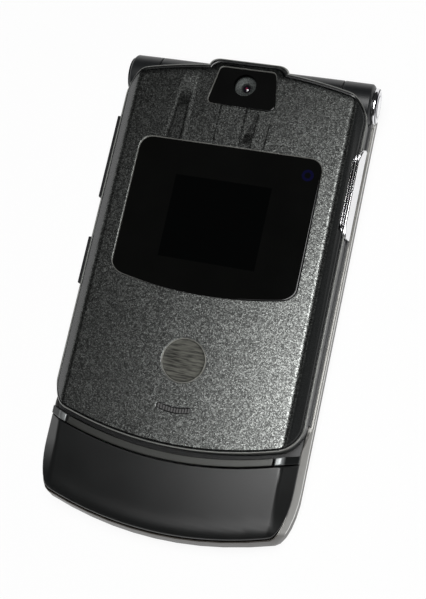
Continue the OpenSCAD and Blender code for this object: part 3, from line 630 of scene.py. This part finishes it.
def crest_cuts(soft):
    """Places across the face that carry its crown and its crests."""
    near = (-1.1, -0.6, -0.4, -0.25, -0.1, 0, 0.1, 0.25, 0.4, 0.6, 1.1)
    side = [1.36, 4.08, 6.9, 9.65, 12.4, 15.17, 17.27, 18.53, 20.6]
    side += [HALF_CREST + soft * t for t in near]
    return [-x for x in side] + side


# ---- mesh tools ----


def skin(bm, rings, closed=False):
    """Faces between rings of equal length; closed joins the last to the first."""
    made = [[bm.verts.new(p) for p in ring] for ring in rings]
    pairs = list(zip(made, made[1:])) + ([(made[-1], made[0])] if closed else [])
    for a, b in pairs:
        for i in range(len(a)):
            bm.faces.new((a[i - 1], a[i], b[i], b[i - 1]))
    return made


def raised(points, z):
    """Points of a plan at a height, which is a number or a function of x and y."""
    return [Vector((p.x, p.y, z(p.x, p.y) if callable(z) else z)) for p in points]


def linked(name, data):
    """A new object of the scene."""
    made = bpy.data.objects.new(name, data)
    bpy.context.scene.collection.objects.link(made)
    return made


def dress(mesh, material):
    """Gives a mesh one finish."""
    mesh.materials.clear()
    mesh.materials.append(finish(material))


def new_piece(name, bm, material, edge=0.0, angle=30, segments=2):
    """A mesh object from millimetres, smooth, with its sharp edges rounded by edge."""
    bmesh.ops.remove_doubles(bm, verts=bm.verts, dist=1e-4)
    bmesh.ops.recalc_face_normals(bm, faces=bm.faces)
    bmesh.ops.scale(bm, vec=(MM, MM, MM), verts=bm.verts)
    mesh = bpy.data.meshes.new(name)
    bm.to_mesh(mesh)
    bm.free()
    dress(mesh, material)
    piece = linked(name, mesh)
    soften(piece, edge, angle, segments)
    return piece


def soften(piece, edge, angle=30, segments=2):
    """Rounds a piece's sharp edges and lets its large faces keep their own direction."""
    piece.data.shade_smooth()
    if edge:
        bevel = piece.modifiers.new("edges", "BEVEL")
        bevel.width = edge * MM
        bevel.segments = segments
        bevel.angle_limit = math.radians(angle)
        bevel.use_clamp_overlap = False
        bevel.miter_outer = "MITER_ARC"
    piece.modifiers.new("normals", "WEIGHTED_NORMAL").keep_sharp = True


def settle(piece):
    """Turns a piece's modifiers into its mesh."""
    shape = piece.evaluated_get(bpy.context.evaluated_depsgraph_get())
    piece.data = bpy.data.meshes.new_from_object(shape)
    piece.modifiers.clear()


def cut(piece, cutters, edge=0.0):
    """Takes the cutters out of a piece, then rounds the edges that this leaves."""
    piece.modifiers.clear()
    for cutter in cutters:
        tool = piece.modifiers.new("cut", "BOOLEAN")
        tool.operation, tool.solver, tool.object = "DIFFERENCE", "EXACT", cutter
    settle(piece)
    for cutter in cutters:
        bpy.data.objects.remove(cutter)
    soften(piece, edge, 40)


def lay_normals(piece, height):
    """Settles a piece and gives the level part of its upper face the height's own normals."""
    settle(piece)
    mesh, e, level, near = piece.data, 0.01, 0.95, 0.12
    normals = [corner.vector.copy() for corner in mesh.corner_normals]
    for polygon in mesh.polygons:
        for i in polygon.loop_indices:
            x, y, z = mesh.vertices[mesh.loops[i].vertex_index].co / MM
            true = Vector((height(x - e, y) - height(x + e, y),
                           height(x, y - e) - height(x, y + e), 2 * e)).normalized()
            if min(polygon.normal.z, true.z) > level and abs(z - height(x, y)) < near:
                normals[i] = true
    mesh.normals_split_custom_set(normals)


def capped(bm, rings):
    """A closed solid of rings, with a face over each end."""
    made = skin(bm, rings)
    bm.faces.new(made[0])
    bm.faces.new(made[-1])


def solid(name, material, rings):
    """A piece made of one solid of rings."""
    bm = bmesh.new()
    capped(bm, rings)
    return new_piece(name, bm, material)


def hoop(name, material, loops):
    """A piece whose rings close on themselves, as round a window."""
    bm = bmesh.new()
    skin(bm, loops, closed=True)
    return new_piece(name, bm, material)


def prism(points, z0=5, z1=20):
    """A plain cutter over an outline, right through the flip unless z0 is given."""
    piece = solid("cutter", "satin_black", [raised(points, z0), raised(points, z1)])
    piece.modifiers.clear()
    return piece


def crowned(name, rings, height, floor, cuts_x, material, cuts_y=()):
    """A closed solid: rings of (outline, drop below height) from outside in, over a floor.

    height and floor are functions of x and y. cuts_x and cuts_y are the lines that carry
    its curve.
    """
    bm = bmesh.new()
    loops = [raised(rings[0][0], floor)]
    for outline, drop in rings:
        loops.append([Vector((p.x, p.y, max(height(p.x, p.y) - drop, floor(p.x, p.y) + 0.01)))
                      for p in outline])
    made = skin(bm, loops)
    bm.faces.new(made[0])
    inside = [bm.faces.new(made[-1])]
    for axis, places in ((0, cuts_x), (1, cuts_y)):
        for place in places:
            across = Vector((axis == 0, axis == 1, 0)).normalized()
            geometry = set(inside)
            for f in inside:
                geometry.update(f.edges)
                geometry.update(f.verts)
            halves = bmesh.ops.bisect_plane(
                bm, geom=list(geometry), plane_co=across * place, plane_no=across, dist=1e-5)
            inside = [part for part in halves["geom"] if isinstance(part, bmesh.types.BMFace)]
    for f in inside:
        for v in f.verts:
            v.co.z = height(v.co.x, v.co.y)
    return new_piece(name, bm, material)


def turned(name, material, profile, centre, axis="Z", n=64):
    """A turned piece: profile is (radius, along) pairs from its foot to its top's middle."""
    spin = {"Z": Matrix.Identity(3), "X": Matrix(((0, 0, 1), (0, 1, 0), (-1, 0, 0))),
            "-X": Matrix(((0, 0, -1), (0, 1, 0), (1, 0, 0)))}[axis]
    angles = [2 * math.pi * i / n for i in range(n)]
    return solid(name, material, [
        [Vector(centre) + spin @ Vector((r * math.cos(a), r * math.sin(a), along))
         for a in angles] for r, along in profile])


def place(piece, body, slot, *nodes):
    """Lets a piece ride on its body, in place of the CAD nodes that it stands for."""
    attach(piece, body)
    if nodes:
        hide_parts(*nodes)
    return piece


def rounded_node(node, body, slot, material, edge, angle=28, segments=2):
    """A copy of a CAD node with its edges rounded, in its place."""
    bm = bmesh.new()
    bm.from_mesh(frame["nodes"][node].data)
    bmesh.ops.scale(bm, vec=(1 / MM,) * 3, verts=bm.verts)
    bmesh.ops.remove_doubles(bm, verts=bm.verts, dist=2e-3)
    bmesh.ops.dissolve_limit(bm, angle_limit=math.radians(0.1), verts=bm.verts, edges=bm.edges)
    piece = new_piece(node + ".finished", bm, material, edge, angle, segments)
    return place(piece, body, slot, node)


# ---- the flip ----


class PHONE_OT_flip_shell(bpy.types.Operator):
    """Speckled plate and the smooth frame round it, with their openings"""

    bl_idname = "phone.flip_shell"
    bl_label = "Flip's outer shell"

    def execute(self, context):
        sizes = in_mm(context.scene.phone_sizes)

        def height(x, y):
            return face(x, FACE_Z, sizes.crest_soft)

        def floor(x, y):
            return max(SPLIT_Z, height(x, y) - 1.1)

        frame_w, start, r = sizes.frame_w, sizes.frame_w + sizes.groove, sizes.plate_round
        rings = [(inner_plan(start + r * d, sizes), r * drop) for d, drop in (
            (0, 1), (0.1, 0.55), (0.3, 0.25), (0.55, 0.08), (0.85, 0.01), (1.1, 0), (1.5, 0))]
        plate = crowned("flip_plate", rings, height, floor, crest_cuts(sizes.crest_soft),
                        "speckled_paint")

        lip_w = sizes.lip_w
        # the lip's pale colour is partly a painted highlight along the flip's edge
        lip = self.ring("flip_lip", "lip_metal", height, [
            (outer_plan(0), 0.42), (outer_plan(0.04), 0.26), (outer_plan(lip_w * 0.5), 0.14),
            (outer_plan(lip_w), 0.12), (outer_plan(lip_w), 0.6)])
        rim = self.ring("flip_frame", "smooth_frame", height, [
            (outer_plan(lip_w + 0.02), 0.2), (outer_plan(lip_w + 0.06), 0.06),
            (outer_plan(lip_w + 0.12), 0.0)] + [
            (inner_plan(frame_w - d, sizes), drop) for d, drop in (
                (0.10, 0.03), (0.05, 0.08), (0, 0.2), (0, 0.9))])

        low, high = box_mm("voice_key")
        notch = [Vector(p) for p in (
            (low.x + 0.02, low.y + 1.2), (high.x - 0.4, low.y - 0.1), (30, low.y - 0.1),
            (30, high.y + 0.1), (high.x - 0.1, high.y + 0.1), (low.x + 0.02, high.y - 2.6))]
        hole_r, hole_y, count = 4.6, PLATE_LOW.y + 4.55, 72
        hole = [Vector((hole_r * math.cos(a), hole_y + hole_r * math.sin(a)))
                for a in [2 * math.pi * i / count for i in range(count)]]
        cut(plate, [
            prism(window_plan(0)), prism(camera_plan(0)), prism(hole, FACE_Z - 0.45),
            prism(slot_plan(0.675)), prism(notch)])
        lay_normals(plate, height)
        place(plate, "flip", "cover_metal", "flip_cover")
        for ring in (rim, lip):
            cut(ring, [prism(notch)], edge=0.03)
            place(ring, "flip", "cover_metal", "flip_cover")
        return {"FINISHED"}

    def ring(self, name, material, height, steps):
        """A closed ring over the flip's parting line, from (outline, drop) steps."""
        loops = [raised(steps[0][0], SPLIT_Z)]
        for i, (outline, drop) in enumerate(steps, 1):
            loops.append(raised(outline, lambda x, y: max(
                SPLIT_Z + 0.015 * i, height(x, y) - drop)))
        return hoop(name, material, loops + [raised(steps[-1][0], SPLIT_Z)])


def window_plan(d):
    """Outline of the outer window's opening, drawn in by d."""
    half = WINDOW_HIGH.x + 0.05
    low = (WINDOW_LOW.y - 0.05, 3.9, 2.8, 2.2)
    top = (WINDOW_HIGH.y + 0.05, 0, 2.8, 2.8)
    return plan(half - d, inset_end(low, d, 1), inset_end(top, d, -1))


def camera_plan(d):
    """Outline of the camera window: wider towards the chin, with rounded corners."""
    # half width, height up the phone and corner radius of its low and its top end
    xa, ya, ra = 7.4, CAMERA_LOW.y - 0.05, 1.3
    xb, yb, rb = 6.0, CAMERA_HIGH.y + 0.05, 0.9
    lean = (xb - xa) / (yb - ya)
    bend = [(math.sin(t), math.cos(t)) for t in [math.pi / 2 * i / 6 for i in range(7)]]
    right = [Vector((xa - ra + ra * a + lean * ra * (1 - b), ya + ra * (1 - b))) for a, b in bend]
    right += [Vector((xb - rb + rb * b - lean * rb * (1 - a), yb - rb * (1 - a))) for a, b in bend]
    outline = right + [Vector((-p.x, p.y)) for p in reversed(right)]
    return offset(outline, d) if d else outline


def slot_plan(r, n=10):
    """Outline of the speaker slot, which sags towards the chin, with half its width r."""
    a = math.asin(SLOT_L / 2 / SLOT_BEND)
    arc = [a * i / n for i in range(-n, n + 1)]
    mid = SLOT_Y + SLOT_BEND

    def line(radius):
        return [Vector((radius * math.sin(t), mid - radius * math.cos(t))) for t in arc]

    def end(side):
        centre = Vector((SLOT_BEND * math.sin(side * a), mid - SLOT_BEND * math.cos(a)))
        turns = [side * (a - math.pi / 2) + math.pi * i / n for i in range(1, n)]
        return [centre + r * Vector((math.cos(t), math.sin(t))) for t in turns]

    return line(SLOT_BEND + r) + end(1) + line(SLOT_BEND - r)[::-1] + end(-1)


class PHONE_OT_windows(bpy.types.Operator):
    """Outer window, camera window and the display behind"""

    bl_idname = "phone.windows"
    bl_label = "Outer windows"

    def execute(self, context):
        sizes = in_mm(context.scene.phone_sizes)
        soft, w = sizes.crest_soft, sizes.trim_w
        cuts = [1.2, 3.7, 6.1, 8.7, 11.1, 13.7, 16.6]
        cuts = [-x for x in reversed(cuts)] + cuts
        for name, outline, node, sink in (
                ("window", window_plan, "outer_window", 0.10),
                ("camera", camera_plan, "camera_window", 0.14)):
            base, reach = box_mm(node)[0].z, 0.05
            rings = [(outline(0.07 + w + d), drop) for d, drop in (
                (0, 0.3), (0, 0.12), (0.04, 0.04), (0.1, 0.01), (0.2, 0), (0.4, 0))]
            glass = crowned(name + "_glass", rings, lambda x, y: face(x, FACE_Z, soft) - sink,
                            lambda x, y: base, cuts, name + "_gloss")
            loops = [raised(outline(reach + d), lambda x, y: face(x, FACE_Z, soft) - drop)
                     for d, drop in ((0, 0.04), (0.02, 0.015), (0.04, 0.015), (w, 0.15), (w, 0.4))]
            edge = hoop(name + "_edge", name + "_edge", [
                raised(outline(reach), base + 0.05), *loops,
                raised(outline(reach + w), base + 0.05)])
            for piece in (glass, edge):
                place(piece, "flip", "window_black", node)
        return {"FINISHED"}


class PHONE_OT_camera(bpy.types.Operator):
    """Camera module with its stippled ring and coated lens"""

    bl_idname = "phone.camera"
    bl_label = "Camera"

    def execute(self, context):
        low, high = box_mm("camera_module")
        top, r = high.z, high.x
        module = turned("camera_ring", "lens_ring", [
            (r, low.z), (r, top - 0.15), (r - 0.15, top), (2.5, top), (2.4, top - 0.08),
            (2.35, top - 0.5), (2.2, top - 0.58), (1.15, top - 0.6), (1.0, top - 0.66),
            (0.88, top - 0.9), (0.86, top - 1.2), (0.02, top - 1.2)], (0, LENS_Y, 0))
        lens = turned("camera_lens", "lens_glass", [
            (0.84, top - 1.18), (0.84, top - 1.0), (0.74, top - 0.88), (0.55, top - 0.78),
            (0.3, top - 0.71), (0.02, top - 0.69)], (0, LENS_Y, 0), n=40)
        place(module, "flip", "window_black", "camera_module")
        place(lens, "flip", "window_black")
        return {"FINISHED"}


class PHONE_OT_plate_and_slot(bpy.types.Operator):
    """Round plate below the window and the speaker's mesh"""

    bl_idname = "phone.plate_and_slot"
    bl_label = "Round plate and speaker"

    def execute(self, context):
        centre = (0, middle("round_plate").y, PLATE_LOW.z)
        r, t = PLATE_HIGH.x, PLATE_HIGH.z - PLATE_LOW.z
        disc = turned("round_disc", "round_brushed", [
            (r, 0), (r, t - 0.12), (r - 0.04, t - 0.04), (r - 0.13, t), (r - 0.26, t),
            (r - 0.34, t - 0.05), (r - 0.38, t - 0.12), (r - 0.46, t - 0.13),
            (r - 1.4, t - 0.11), (r - 2.8, t - 0.08), (0.05, t - 0.07)], centre, n=96)
        place(disc, "flip", "disc_grey", "round_plate")
        low, high = box_mm("speaker_mesh")
        cloth = solid("speaker_cloth", "speaker_cloth", [raised(slot_plan(r), z) for r, z in (
            (0.62, low.z), (0.62, high.z - 0.08), (0.56, high.z), (0.3, high.z + 0.02))])
        place(cloth, "flip", "mesh_black", "speaker_mesh")
        return {"FINISHED"}


class PHONE_OT_flip_inside(bpy.types.Operator):
    """Inner housing with the hinge barrel, and the parts behind it"""

    bl_idname = "phone.flip_inside"
    bl_label = "Flip's inner housing"

    def execute(self, context):
        for node, slot, material, edge in (
                ("flip_housing", "front_dark", "satin_black", context.scene.phone_sizes.edge / MM),
                ("inner_window", "window_black", "inner_gloss", 0.08),
                ("flip_bumpers", "rubber_black", "rubber", 0.1),
                ("earpiece", "can_metal", "tinned", 0.1)):
            rounded_node(node, "flip", slot, material, edge)
        return {"FINISHED"}


# ---- the base ----


def bowed(y, x):
    """The bowed line across the phone that passes the middle at y."""
    return y + BOW * (x / HALF_FLIP) ** 2


class PHONE_OT_chin(bpy.types.Operator):
    """Chin cover with its crests and round nose"""

    bl_idname = "phone.chin"
    bl_label = "Chin cover"

    def execute(self, context):
        soft = context.scene.phone_sizes.crest_soft / MM
        half, low_y, foot = CHIN_HIGH.x, CHIN_LOW.y, BACK_HIGH.z
        strip_y, top = LIP_Y - 2.75, CHIN_HIGH.z
        fall, nose, nose_end, edge_z = 2.2, 3.3, foot + 0.5, foot + 0.3
        rise, reach = top - fall - nose_end, strip_y + 5 - low_y - nose

        def along(t):
            """Height of the chin's middle line at a distance t from its end."""
            if t < nose:
                return nose_end + rise * math.sqrt(max(0, 1 - (1 - t / nose) ** 2))
            return top - fall * max(0, 1 - (t - nose) / reach) ** 1.4

        def height(x, y):
            ridge = along(y - BOW * (x / HALF_FLIP) ** 2 - low_y)
            flat = ridge - CROWN * (x / HALF_CREST) ** 2
            side = max(0.02, ridge - CROWN - edge_z) * (abs(x) - HALF_CREST) / (half - HALF_CREST)
            return soft_min(flat, ridge - CROWN - side, soft * 0.6)

        def outline(d):
            y, *bend = inset_end((low_y, BOW, 3.2, 8.6), d, 1)
            lower = [Vector((x, y + draw_in(x, half - d, *bend)))
                     for x in edge_xs(half - d, bend[1])]
            upper = [Vector((x, bowed(strip_y, x) - d)) for x in edge_xs(half - d, 1.2 - d)]
            return lower + upper[::-1]

        rings = [(outline(d), drop) for d, drop in (
            (0, 0.16), (0.04, 0.07), (0.12, 0.015), (0.2, 0), (0.3, 0))]
        cuts_y = [low_y + t for t in (0.5, 1, 1.6, 2.3, 3.1, 4, 5, 6.2, 7.5, 9, 10.5, 12, 13.5)]
        chin = crowned("chin_shell", rings, height, lambda x, y: foot, crest_cuts(soft),
                       "chin_satin", cuts_y)
        place(chin, "base", "chin_black", "chin_cover")
        return {"FINISHED"}


class PHONE_OT_strip(bpy.types.Operator):
    """Strip across the chin, with its two end pieces beyond the slits"""

    bl_idname = "phone.strip"
    bl_label = "Strip across the chin"

    def execute(self, context):
        soft = context.scene.phone_sizes.crest_soft / MM
        half = box_mm("chin_strip")[1].x
        width, y0, gap = 1.5, LIP_Y - 2.5, 0.2
        top = CHIN_HIGH.z - 0.1
        bm = bmesh.new()
        for x0, x1, n in ((gap - SLIT_X, SLIT_X - gap, 48), (SLIT_X + gap, half, 14),
                          (-half, -SLIT_X - gap, 14)):
            xs = [x0 + (x1 - x0) * i / n for i in range(n + 1)]
            loops = []
            for d, drop in ((0, 4), (0, 0.12), (0.04, 0.04), (0.12, 0), (0.3, 0)):
                sides = [min(max(x, x0 + d), x1 - d) for x in xs]
                outline = [Vector((x, bowed(y0, x) + d)) for x in sides]
                outline += [Vector((x, bowed(y0 + width, x) - d)) for x in reversed(sides)]
                loops.append(raised(outline, lambda x, y: face(x, top, soft * 0.7) - drop))
            made = skin(bm, loops)
            bm.faces.new(made[0])
            inner = made[-1]
            for i in range(n):
                bm.faces.new((inner[i], inner[i + 1], inner[-2 - i], inner[-1 - i]))
        strip = new_piece("chin_band", bm, "strip_satin")
        place(strip, "base", "strip_grey", "chin_strip")
        return {"FINISHED"}


class PHONE_OT_housings(bpy.types.Operator):
    """Rear housing with its pale rim, and the front housing with the hinge knuckles"""

    bl_idname = "phone.housings"
    bl_label = "Housings"

    def execute(self, context):
        sizes = in_mm(context.scene.phone_sizes)
        rounded_node("rear_housing", "base", "rim_silver", "rim_paint", sizes.edge * 1.2, 35)
        front = rounded_node("front_housing", "base", "front_dark", "satin_black", sizes.edge, 40)
        # The knuckles' outer ends are drawn in, beyond bend_x, by up to a share of their radius.
        axis = middle("hinge_caps").yz
        bend_x, bend_w, share, least, most = 24.9, 1.1, 0.17, 3.3, 4.6
        for v in front.data.vertices:
            out = (abs(v.co.x) / MM - bend_x) / bend_w
            arm = v.co.yz / MM - axis
            if out > 0 and least < arm.length < most:
                v.co.yz = (axis + arm * (1 - share * out ** 2)) * MM
        rounded_node("battery_cover", "battery_cover", "back_metal", "back_paint", sizes.edge, 40)
        rounded_node("battery_latch", "battery_latch", "side_key_black", "satin_black", 0.15)
        return {"FINISHED"}


class PHONE_OT_hinge(bpy.types.Operator):
    """Bright caps on the hinge's ends, and the cartridge and sleeve inside"""

    bl_idname = "phone.hinge"
    bl_label = "Hinge"

    def execute(self, context):
        low, high = box_mm("hinge_caps")
        _, y, z = middle("hinge_caps")
        r, foot = (high.y - low.y) / 2, high.x - 1
        right = turned("hinge_end_right", "cap_chrome", [
            (r - 0.25, -0.3), (r - 0.06, -0.12), (r, 0.1), (r, 0.4), (r - 0.08, 0.6),
            (r - 0.3, 0.8), (r - 0.55, 0.86), (r - 0.75, 0.8), (r - 0.85, 0.68), (r - 1.0, 0.64),
            (r - 1.1, 0.68), (r - 1.4, 0.8), (r - 2.0, 0.92), (r - 2.8, 0.98), (0.05, 1.0)],
            (foot, y, z), "X")
        left = turned("hinge_end_left", "cap_black", [
            (r, 0), (r - 0.05, 0.05), (r - 0.5, 0.12), (0.05, 0.15)], (-foot, y, z), "-X")
        for cap in (right, left):
            place(cap, "base", "chrome", "hinge_caps")
        for node, edge in (("hinge_cartridge", 0.2), ("hinge_sleeve", 0.1), ("base_screws", 0.05)):
            rounded_node(node, "base", "steel", "ground_steel", edge)
        return {"FINISHED"}


class PHONE_OT_side_keys(bpy.types.Operator):
    """Side keys: two black ones on the left and a bright one on the right"""

    bl_idname = "phone.side_keys"
    bl_label = "Side keys"

    def execute(self, context):
        for key in ("volume_key", "smart_key"):
            rounded_node(key, key, "side_key_black", "key_black", 0.2, segments=3)
        low, high = box_mm("voice_key")
        span, rise = high.x - low.x, high.z - low.z
        section = [
            (0, 0.02), (0, 0.88), (0.03, 0.96), (0.08, 1), (0.13, 0.96), (0.17, 0.84), (0.20, 0.80),
            (0.23, 0.86), (0.27, 0.97), (0.32, 0.96), (0.36, 0.80), (0.39, 0.74), (0.42, 0.80),
            (0.46, 0.86), (0.60, 0.70), (0.75, 0.50), (0.9, 0.28), (0.97, 0.16), (1, 0.08),
            (0.98, 0.02)]
        mid, half, taper = (low.y + high.y) / 2, (high.y - low.y) / 2, 2.6
        rings = []
        for i in range(-24, 25):
            t = math.sin(math.pi / 2 * i / 24)
            short = max(0.0, (abs(t) * half - half + taper) / taper)
            width = 1 - short * (0.72 if t > 0 else 0.45) - 0.25 * short ** 8
            low_end = 1 - 0.5 * short ** 6
            rings.append([Vector((high.x - (1 - u) * span * width, mid + t * half,
                                  low.z + rise * v * low_end)) for u, v in section])
        place(solid("voice_bar", "key_chrome", rings), "voice_key", "chrome", "voice_key")
        return {"FINISHED"}


# ---- keypad ----

DIGITS = {"key_star": "*", "key_hash": "#", **{f"key_{n}": str(n) for n in range(10)}}
OTHER_KEYS = ["key_send", "key_clear", "key_end", "key_soft_left", "key_soft_right", "key_menu",
              "key_shortcut_left", "key_shortcut_right", "nav_ring", "key_select"]


def print_on(key, polygons, material, turn, thick=0.02):
    """Prints flat shapes, given round the key's middle, on its top."""
    top, mid = box_mm(key)[1].z, middle(key).xy
    bm = bmesh.new()
    spin = Matrix.Rotation(turn, 2)
    for points in polygons:
        outline = [spin @ Vector(p) + mid for p in points]
        capped(bm, [raised(outline, top), raised(outline, top + thick)])
    place(new_piece(key + ".print", bm, material), key, "web_light")


def print_digit(key, text, sizes):
    """Prints a digit or sign on a key."""
    curve = bpy.data.curves.new(key + ".font", "FONT")
    curve.body, curve.size, curve.extrude = text, sizes.digit * MM, sizes.print_t / 2 * MM
    curve.align_x, curve.align_y = "CENTER", "CENTER"
    draft = linked(key + ".draft", curve)
    shape = draft.evaluated_get(bpy.context.evaluated_depsgraph_get())
    mesh = bpy.data.meshes.new_from_object(shape)
    bpy.data.objects.remove(draft)
    mid, top = middle(key), box_mm(key)[1].z
    drop = 0.35 * sizes.digit if text == "*" else 0
    mesh.transform(Matrix.Translation(
        Vector((mid.x, mid.y - drop, top + sizes.print_t / 2)) * MM))
    dress(mesh, "dark_ink")
    place(linked(key + ".print", mesh), key, "web_light")


class PHONE_OT_keypad(bpy.types.Operator):
    """Keys with their print, and the light guide between them"""

    bl_idname = "phone.keypad"
    bl_label = "Keypad"

    def execute(self, context):
        sizes = in_mm(context.scene.phone_sizes)
        for key in [*DIGITS, *OTHER_KEYS]:
            rounded_node(key, key, "key_metal", "etched_metal", 0.16, 40)
        rounded_node("keypad_web", "base", "web_light", "light_guide", 0.04, 40)
        for key, text in DIGITS.items():
            print_digit(key, text, sizes)
        arrow = [(0, 0.55), (-0.7, -0.4), (0.7, -0.4)]
        bar, dash = rounded_box(-1.7, 1.7, -0.3, 0.3, 0.29), rounded_box(-1.1, 1.1, -0.2, 0.2, 0.19)
        dot, spot = [rounded_box(-half, half, -half, half, half - 0.01) for half in (0.3, 0.45)]
        quarter, out = math.pi / 2, 6.1
        for key, shapes, ink_name, turn in (
                ("key_send", [bar], "green_ink", 0), ("key_end", [bar], "red_ink", 0),
                ("key_clear", [arrow], "dark_ink", quarter),
                ("key_soft_left", [dash], "dark_ink", 0), ("key_soft_right", [dash], "dark_ink", 0),
                ("key_shortcut_left", [spot], "dark_ink", 0),
                ("key_shortcut_right", [spot], "dark_ink", 0),
                ("key_menu", [[(x + c, y) for x, y in dot] for c in (-1.1, 0, 1.1)], "dark_ink", 0),
                ("nav_ring", [[Matrix.Rotation(a, 2) @ Vector((x, y + out)) for x, y in arrow]
                              for a in (0, quarter, math.pi, -quarter)], "dark_ink", 0),
                ("key_select", [rounded_box(-0.8, 0.8, -0.8, 0.8, 0.79)], "dark_ink", 0)):
            print_on(key, shapes, ink_name, turn)
        return {"FINISHED"}


INSIDE_FINISHES = {
    "dome_sheet": "film", "main_board": "solder_mask", "shield_can": "tinned",
    "sim_holder": "tinned",
    "battery": "wrap", "usb_port": "ground_steel", "antenna": "brass", "outer_display": "display",
    "loudspeaker": "tinned", "main_display": "display", "flip_board": "solder_mask",
    "vibration_motor": "tinned", "magnet": "tinned", "motor_weight": "sintered"}


class PHONE_OT_inside(bpy.types.Operator):
    """Finishes of the parts inside, which keep the frame's own shapes"""

    bl_idname = "phone.inside"
    bl_label = "Parts inside"

    def execute(self, context):
        for node, material in INSIDE_FINISHES.items():
            dress(frame["nodes"][node].data, material)
        return {"FINISHED"}


# ---- stage ----

CAMERA_AT = (55.882, -38.071, 223.877)
CAMERA_RIGHT = Vector((0.95572, 0.21338, -0.20264))
CAMERA_UP = Vector((-0.17024, 0.96261, 0.21073))
LENS_MM = 67.33
LAMPS = (
    # name, direction, distance and size in metres, and power in watts
    ("key", (0.15, 0.07, 0.98), 0.6, 0.3, 2.4),
    ("low_key", (0.10, -0.30, 0.95), 0.6, 0.3, 0.7),
    ("left_fill", (-0.9, 0.3, 0.3), 0.7, 0.4, 0.04),
    ("right_fill", (0.85, -0.35, 0.35), 0.7, 0.4, 0.1),
)


class PHONE_OT_stage(bpy.types.Operator):
    """Pale floor, soft lamps, dim studio and the camera"""

    bl_idname = "phone.stage"
    bl_label = "Stage"

    def execute(self, context):
        scene = context.scene
        scene.view_settings.view_transform = "Standard"
        mesh = bpy.data.meshes.new("floor")
        half = 3.0
        mesh.from_pydata([(-half, -half, 0), (half, -half, 0), (half, half, 0), (-half, half, 0)],
                         [], [(0, 1, 2, 3)])
        floor = linked("floor", mesh)
        floor.location.z = -0.0002
        mesh.materials.append(self.floor_finish())

        for name, direction, distance, size, power in LAMPS:
            lamp = bpy.data.lights.new(name, "AREA")
            lamp.shape, lamp.size, lamp.energy = "DISK", size, power
            holder = linked(name, lamp)
            away = Vector(direction).normalized()
            holder.location = away * distance
            holder.rotation_euler = away.to_track_quat("Z", "Y").to_euler()

        scene.world = bpy.data.worlds.new("studio")
        scene.world.use_nodes = True
        sky = Nodes(scene.world.node_tree)
        x, _, z = sky.split(sky.add("ShaderNodeTexCoord", None, None, "Generated"))
        dim = 0.025 * (1 - 0.6 * x.step(0.5, 0.8))
        glow = dim + (0.95 - dim) * (1 - z.step(0.02, 0.16))
        sockets = sky.tree.nodes["Background"].inputs
        sky.feed(sockets["Strength"], glow)
        sky.feed(sockets["Color"], (1, 1, 1))

        camera = bpy.data.cameras.new("camera")
        camera.lens, camera.sensor_width = LENS_MM, 36
        camera.clip_start, camera.clip_end = 0.01, 20
        eye = linked("camera", camera)
        back = CAMERA_RIGHT.cross(CAMERA_UP)
        eye.matrix_world = Matrix.Translation(Vector(CAMERA_AT) * MM) @ Matrix(
            (CAMERA_RIGHT, CAMERA_UP, back)).transposed().to_4x4()
        scene.camera = eye
        return {"FINISHED"}

    def floor_finish(self):
        """White floor that the camera and reflections see nearly white, with its shadow kept."""
        f = Finish("floor_white")
        f.set(base_color=f.shaded((0.84, 0.84, 0.84), 0.01, f.noise(40)),
              roughness=0.9, specular=0.0)
        seen = [f.add("ShaderNodeLightPath", None, None, ray)
                for ray in ("Is Camera Ray", "Is Glossy Ray", "Is Transmission Ray")]
        glow = f.add("ShaderNodeEmission", None, {"Color": (1, 1, 1), "Strength": 1.04})
        shader = f.add("ShaderNodeMixShader", None, {
            0: 0.85 * (seen[0] + seen[1] + seen[2]).low(1.0),
            1: Number(f, f.shader.outputs[0]), 2: glow})
        f.feed(f.tree.nodes["Material Output"].inputs["Surface"], shader)
        return f.material


class PHONE_PT_panel(bpy.types.Panel):
    """Lists the pieces, their sizes and their colours"""

    bl_label = "Flip phone"
    bl_idname = "PHONE_PT_panel"
    bl_space_type = "VIEW_3D"
    bl_region_type = "UI"
    bl_category = "Phone"

    def draw(self, context):
        for group in (context.scene.phone_sizes, context.scene.phone_colours):
            for key in group.__annotations__:
                self.layout.prop(group, key)
        for piece in PIECES:
            self.layout.operator(piece.bl_idname)


PIECES = (
    PHONE_OT_flip_shell, PHONE_OT_windows, PHONE_OT_camera, PHONE_OT_plate_and_slot,
    PHONE_OT_flip_inside, PHONE_OT_chin, PHONE_OT_strip, PHONE_OT_housings, PHONE_OT_hinge,
    PHONE_OT_side_keys, PHONE_OT_keypad, PHONE_OT_inside, PHONE_OT_stage)
CLASSES = (PhoneSizes, PhoneColours, *PIECES, PHONE_PT_panel)


def register():
    for each in CLASSES:
        bpy.utils.register_class(each)
    bpy.types.Scene.phone_sizes = bpy.props.PointerProperty(type=PhoneSizes)
    bpy.types.Scene.phone_colours = bpy.props.PointerProperty(type=PhoneColours)


def unregister():
    del bpy.types.Scene.phone_sizes, bpy.types.Scene.phone_colours
    for each in reversed(CLASSES):
        bpy.utils.unregister_class(each)


def main():
    register()
    for piece in PIECES:
        group, name = piece.bl_idname.split(".")
        getattr(getattr(bpy.ops, group), name)()


if __name__ == "__main__":
    main()
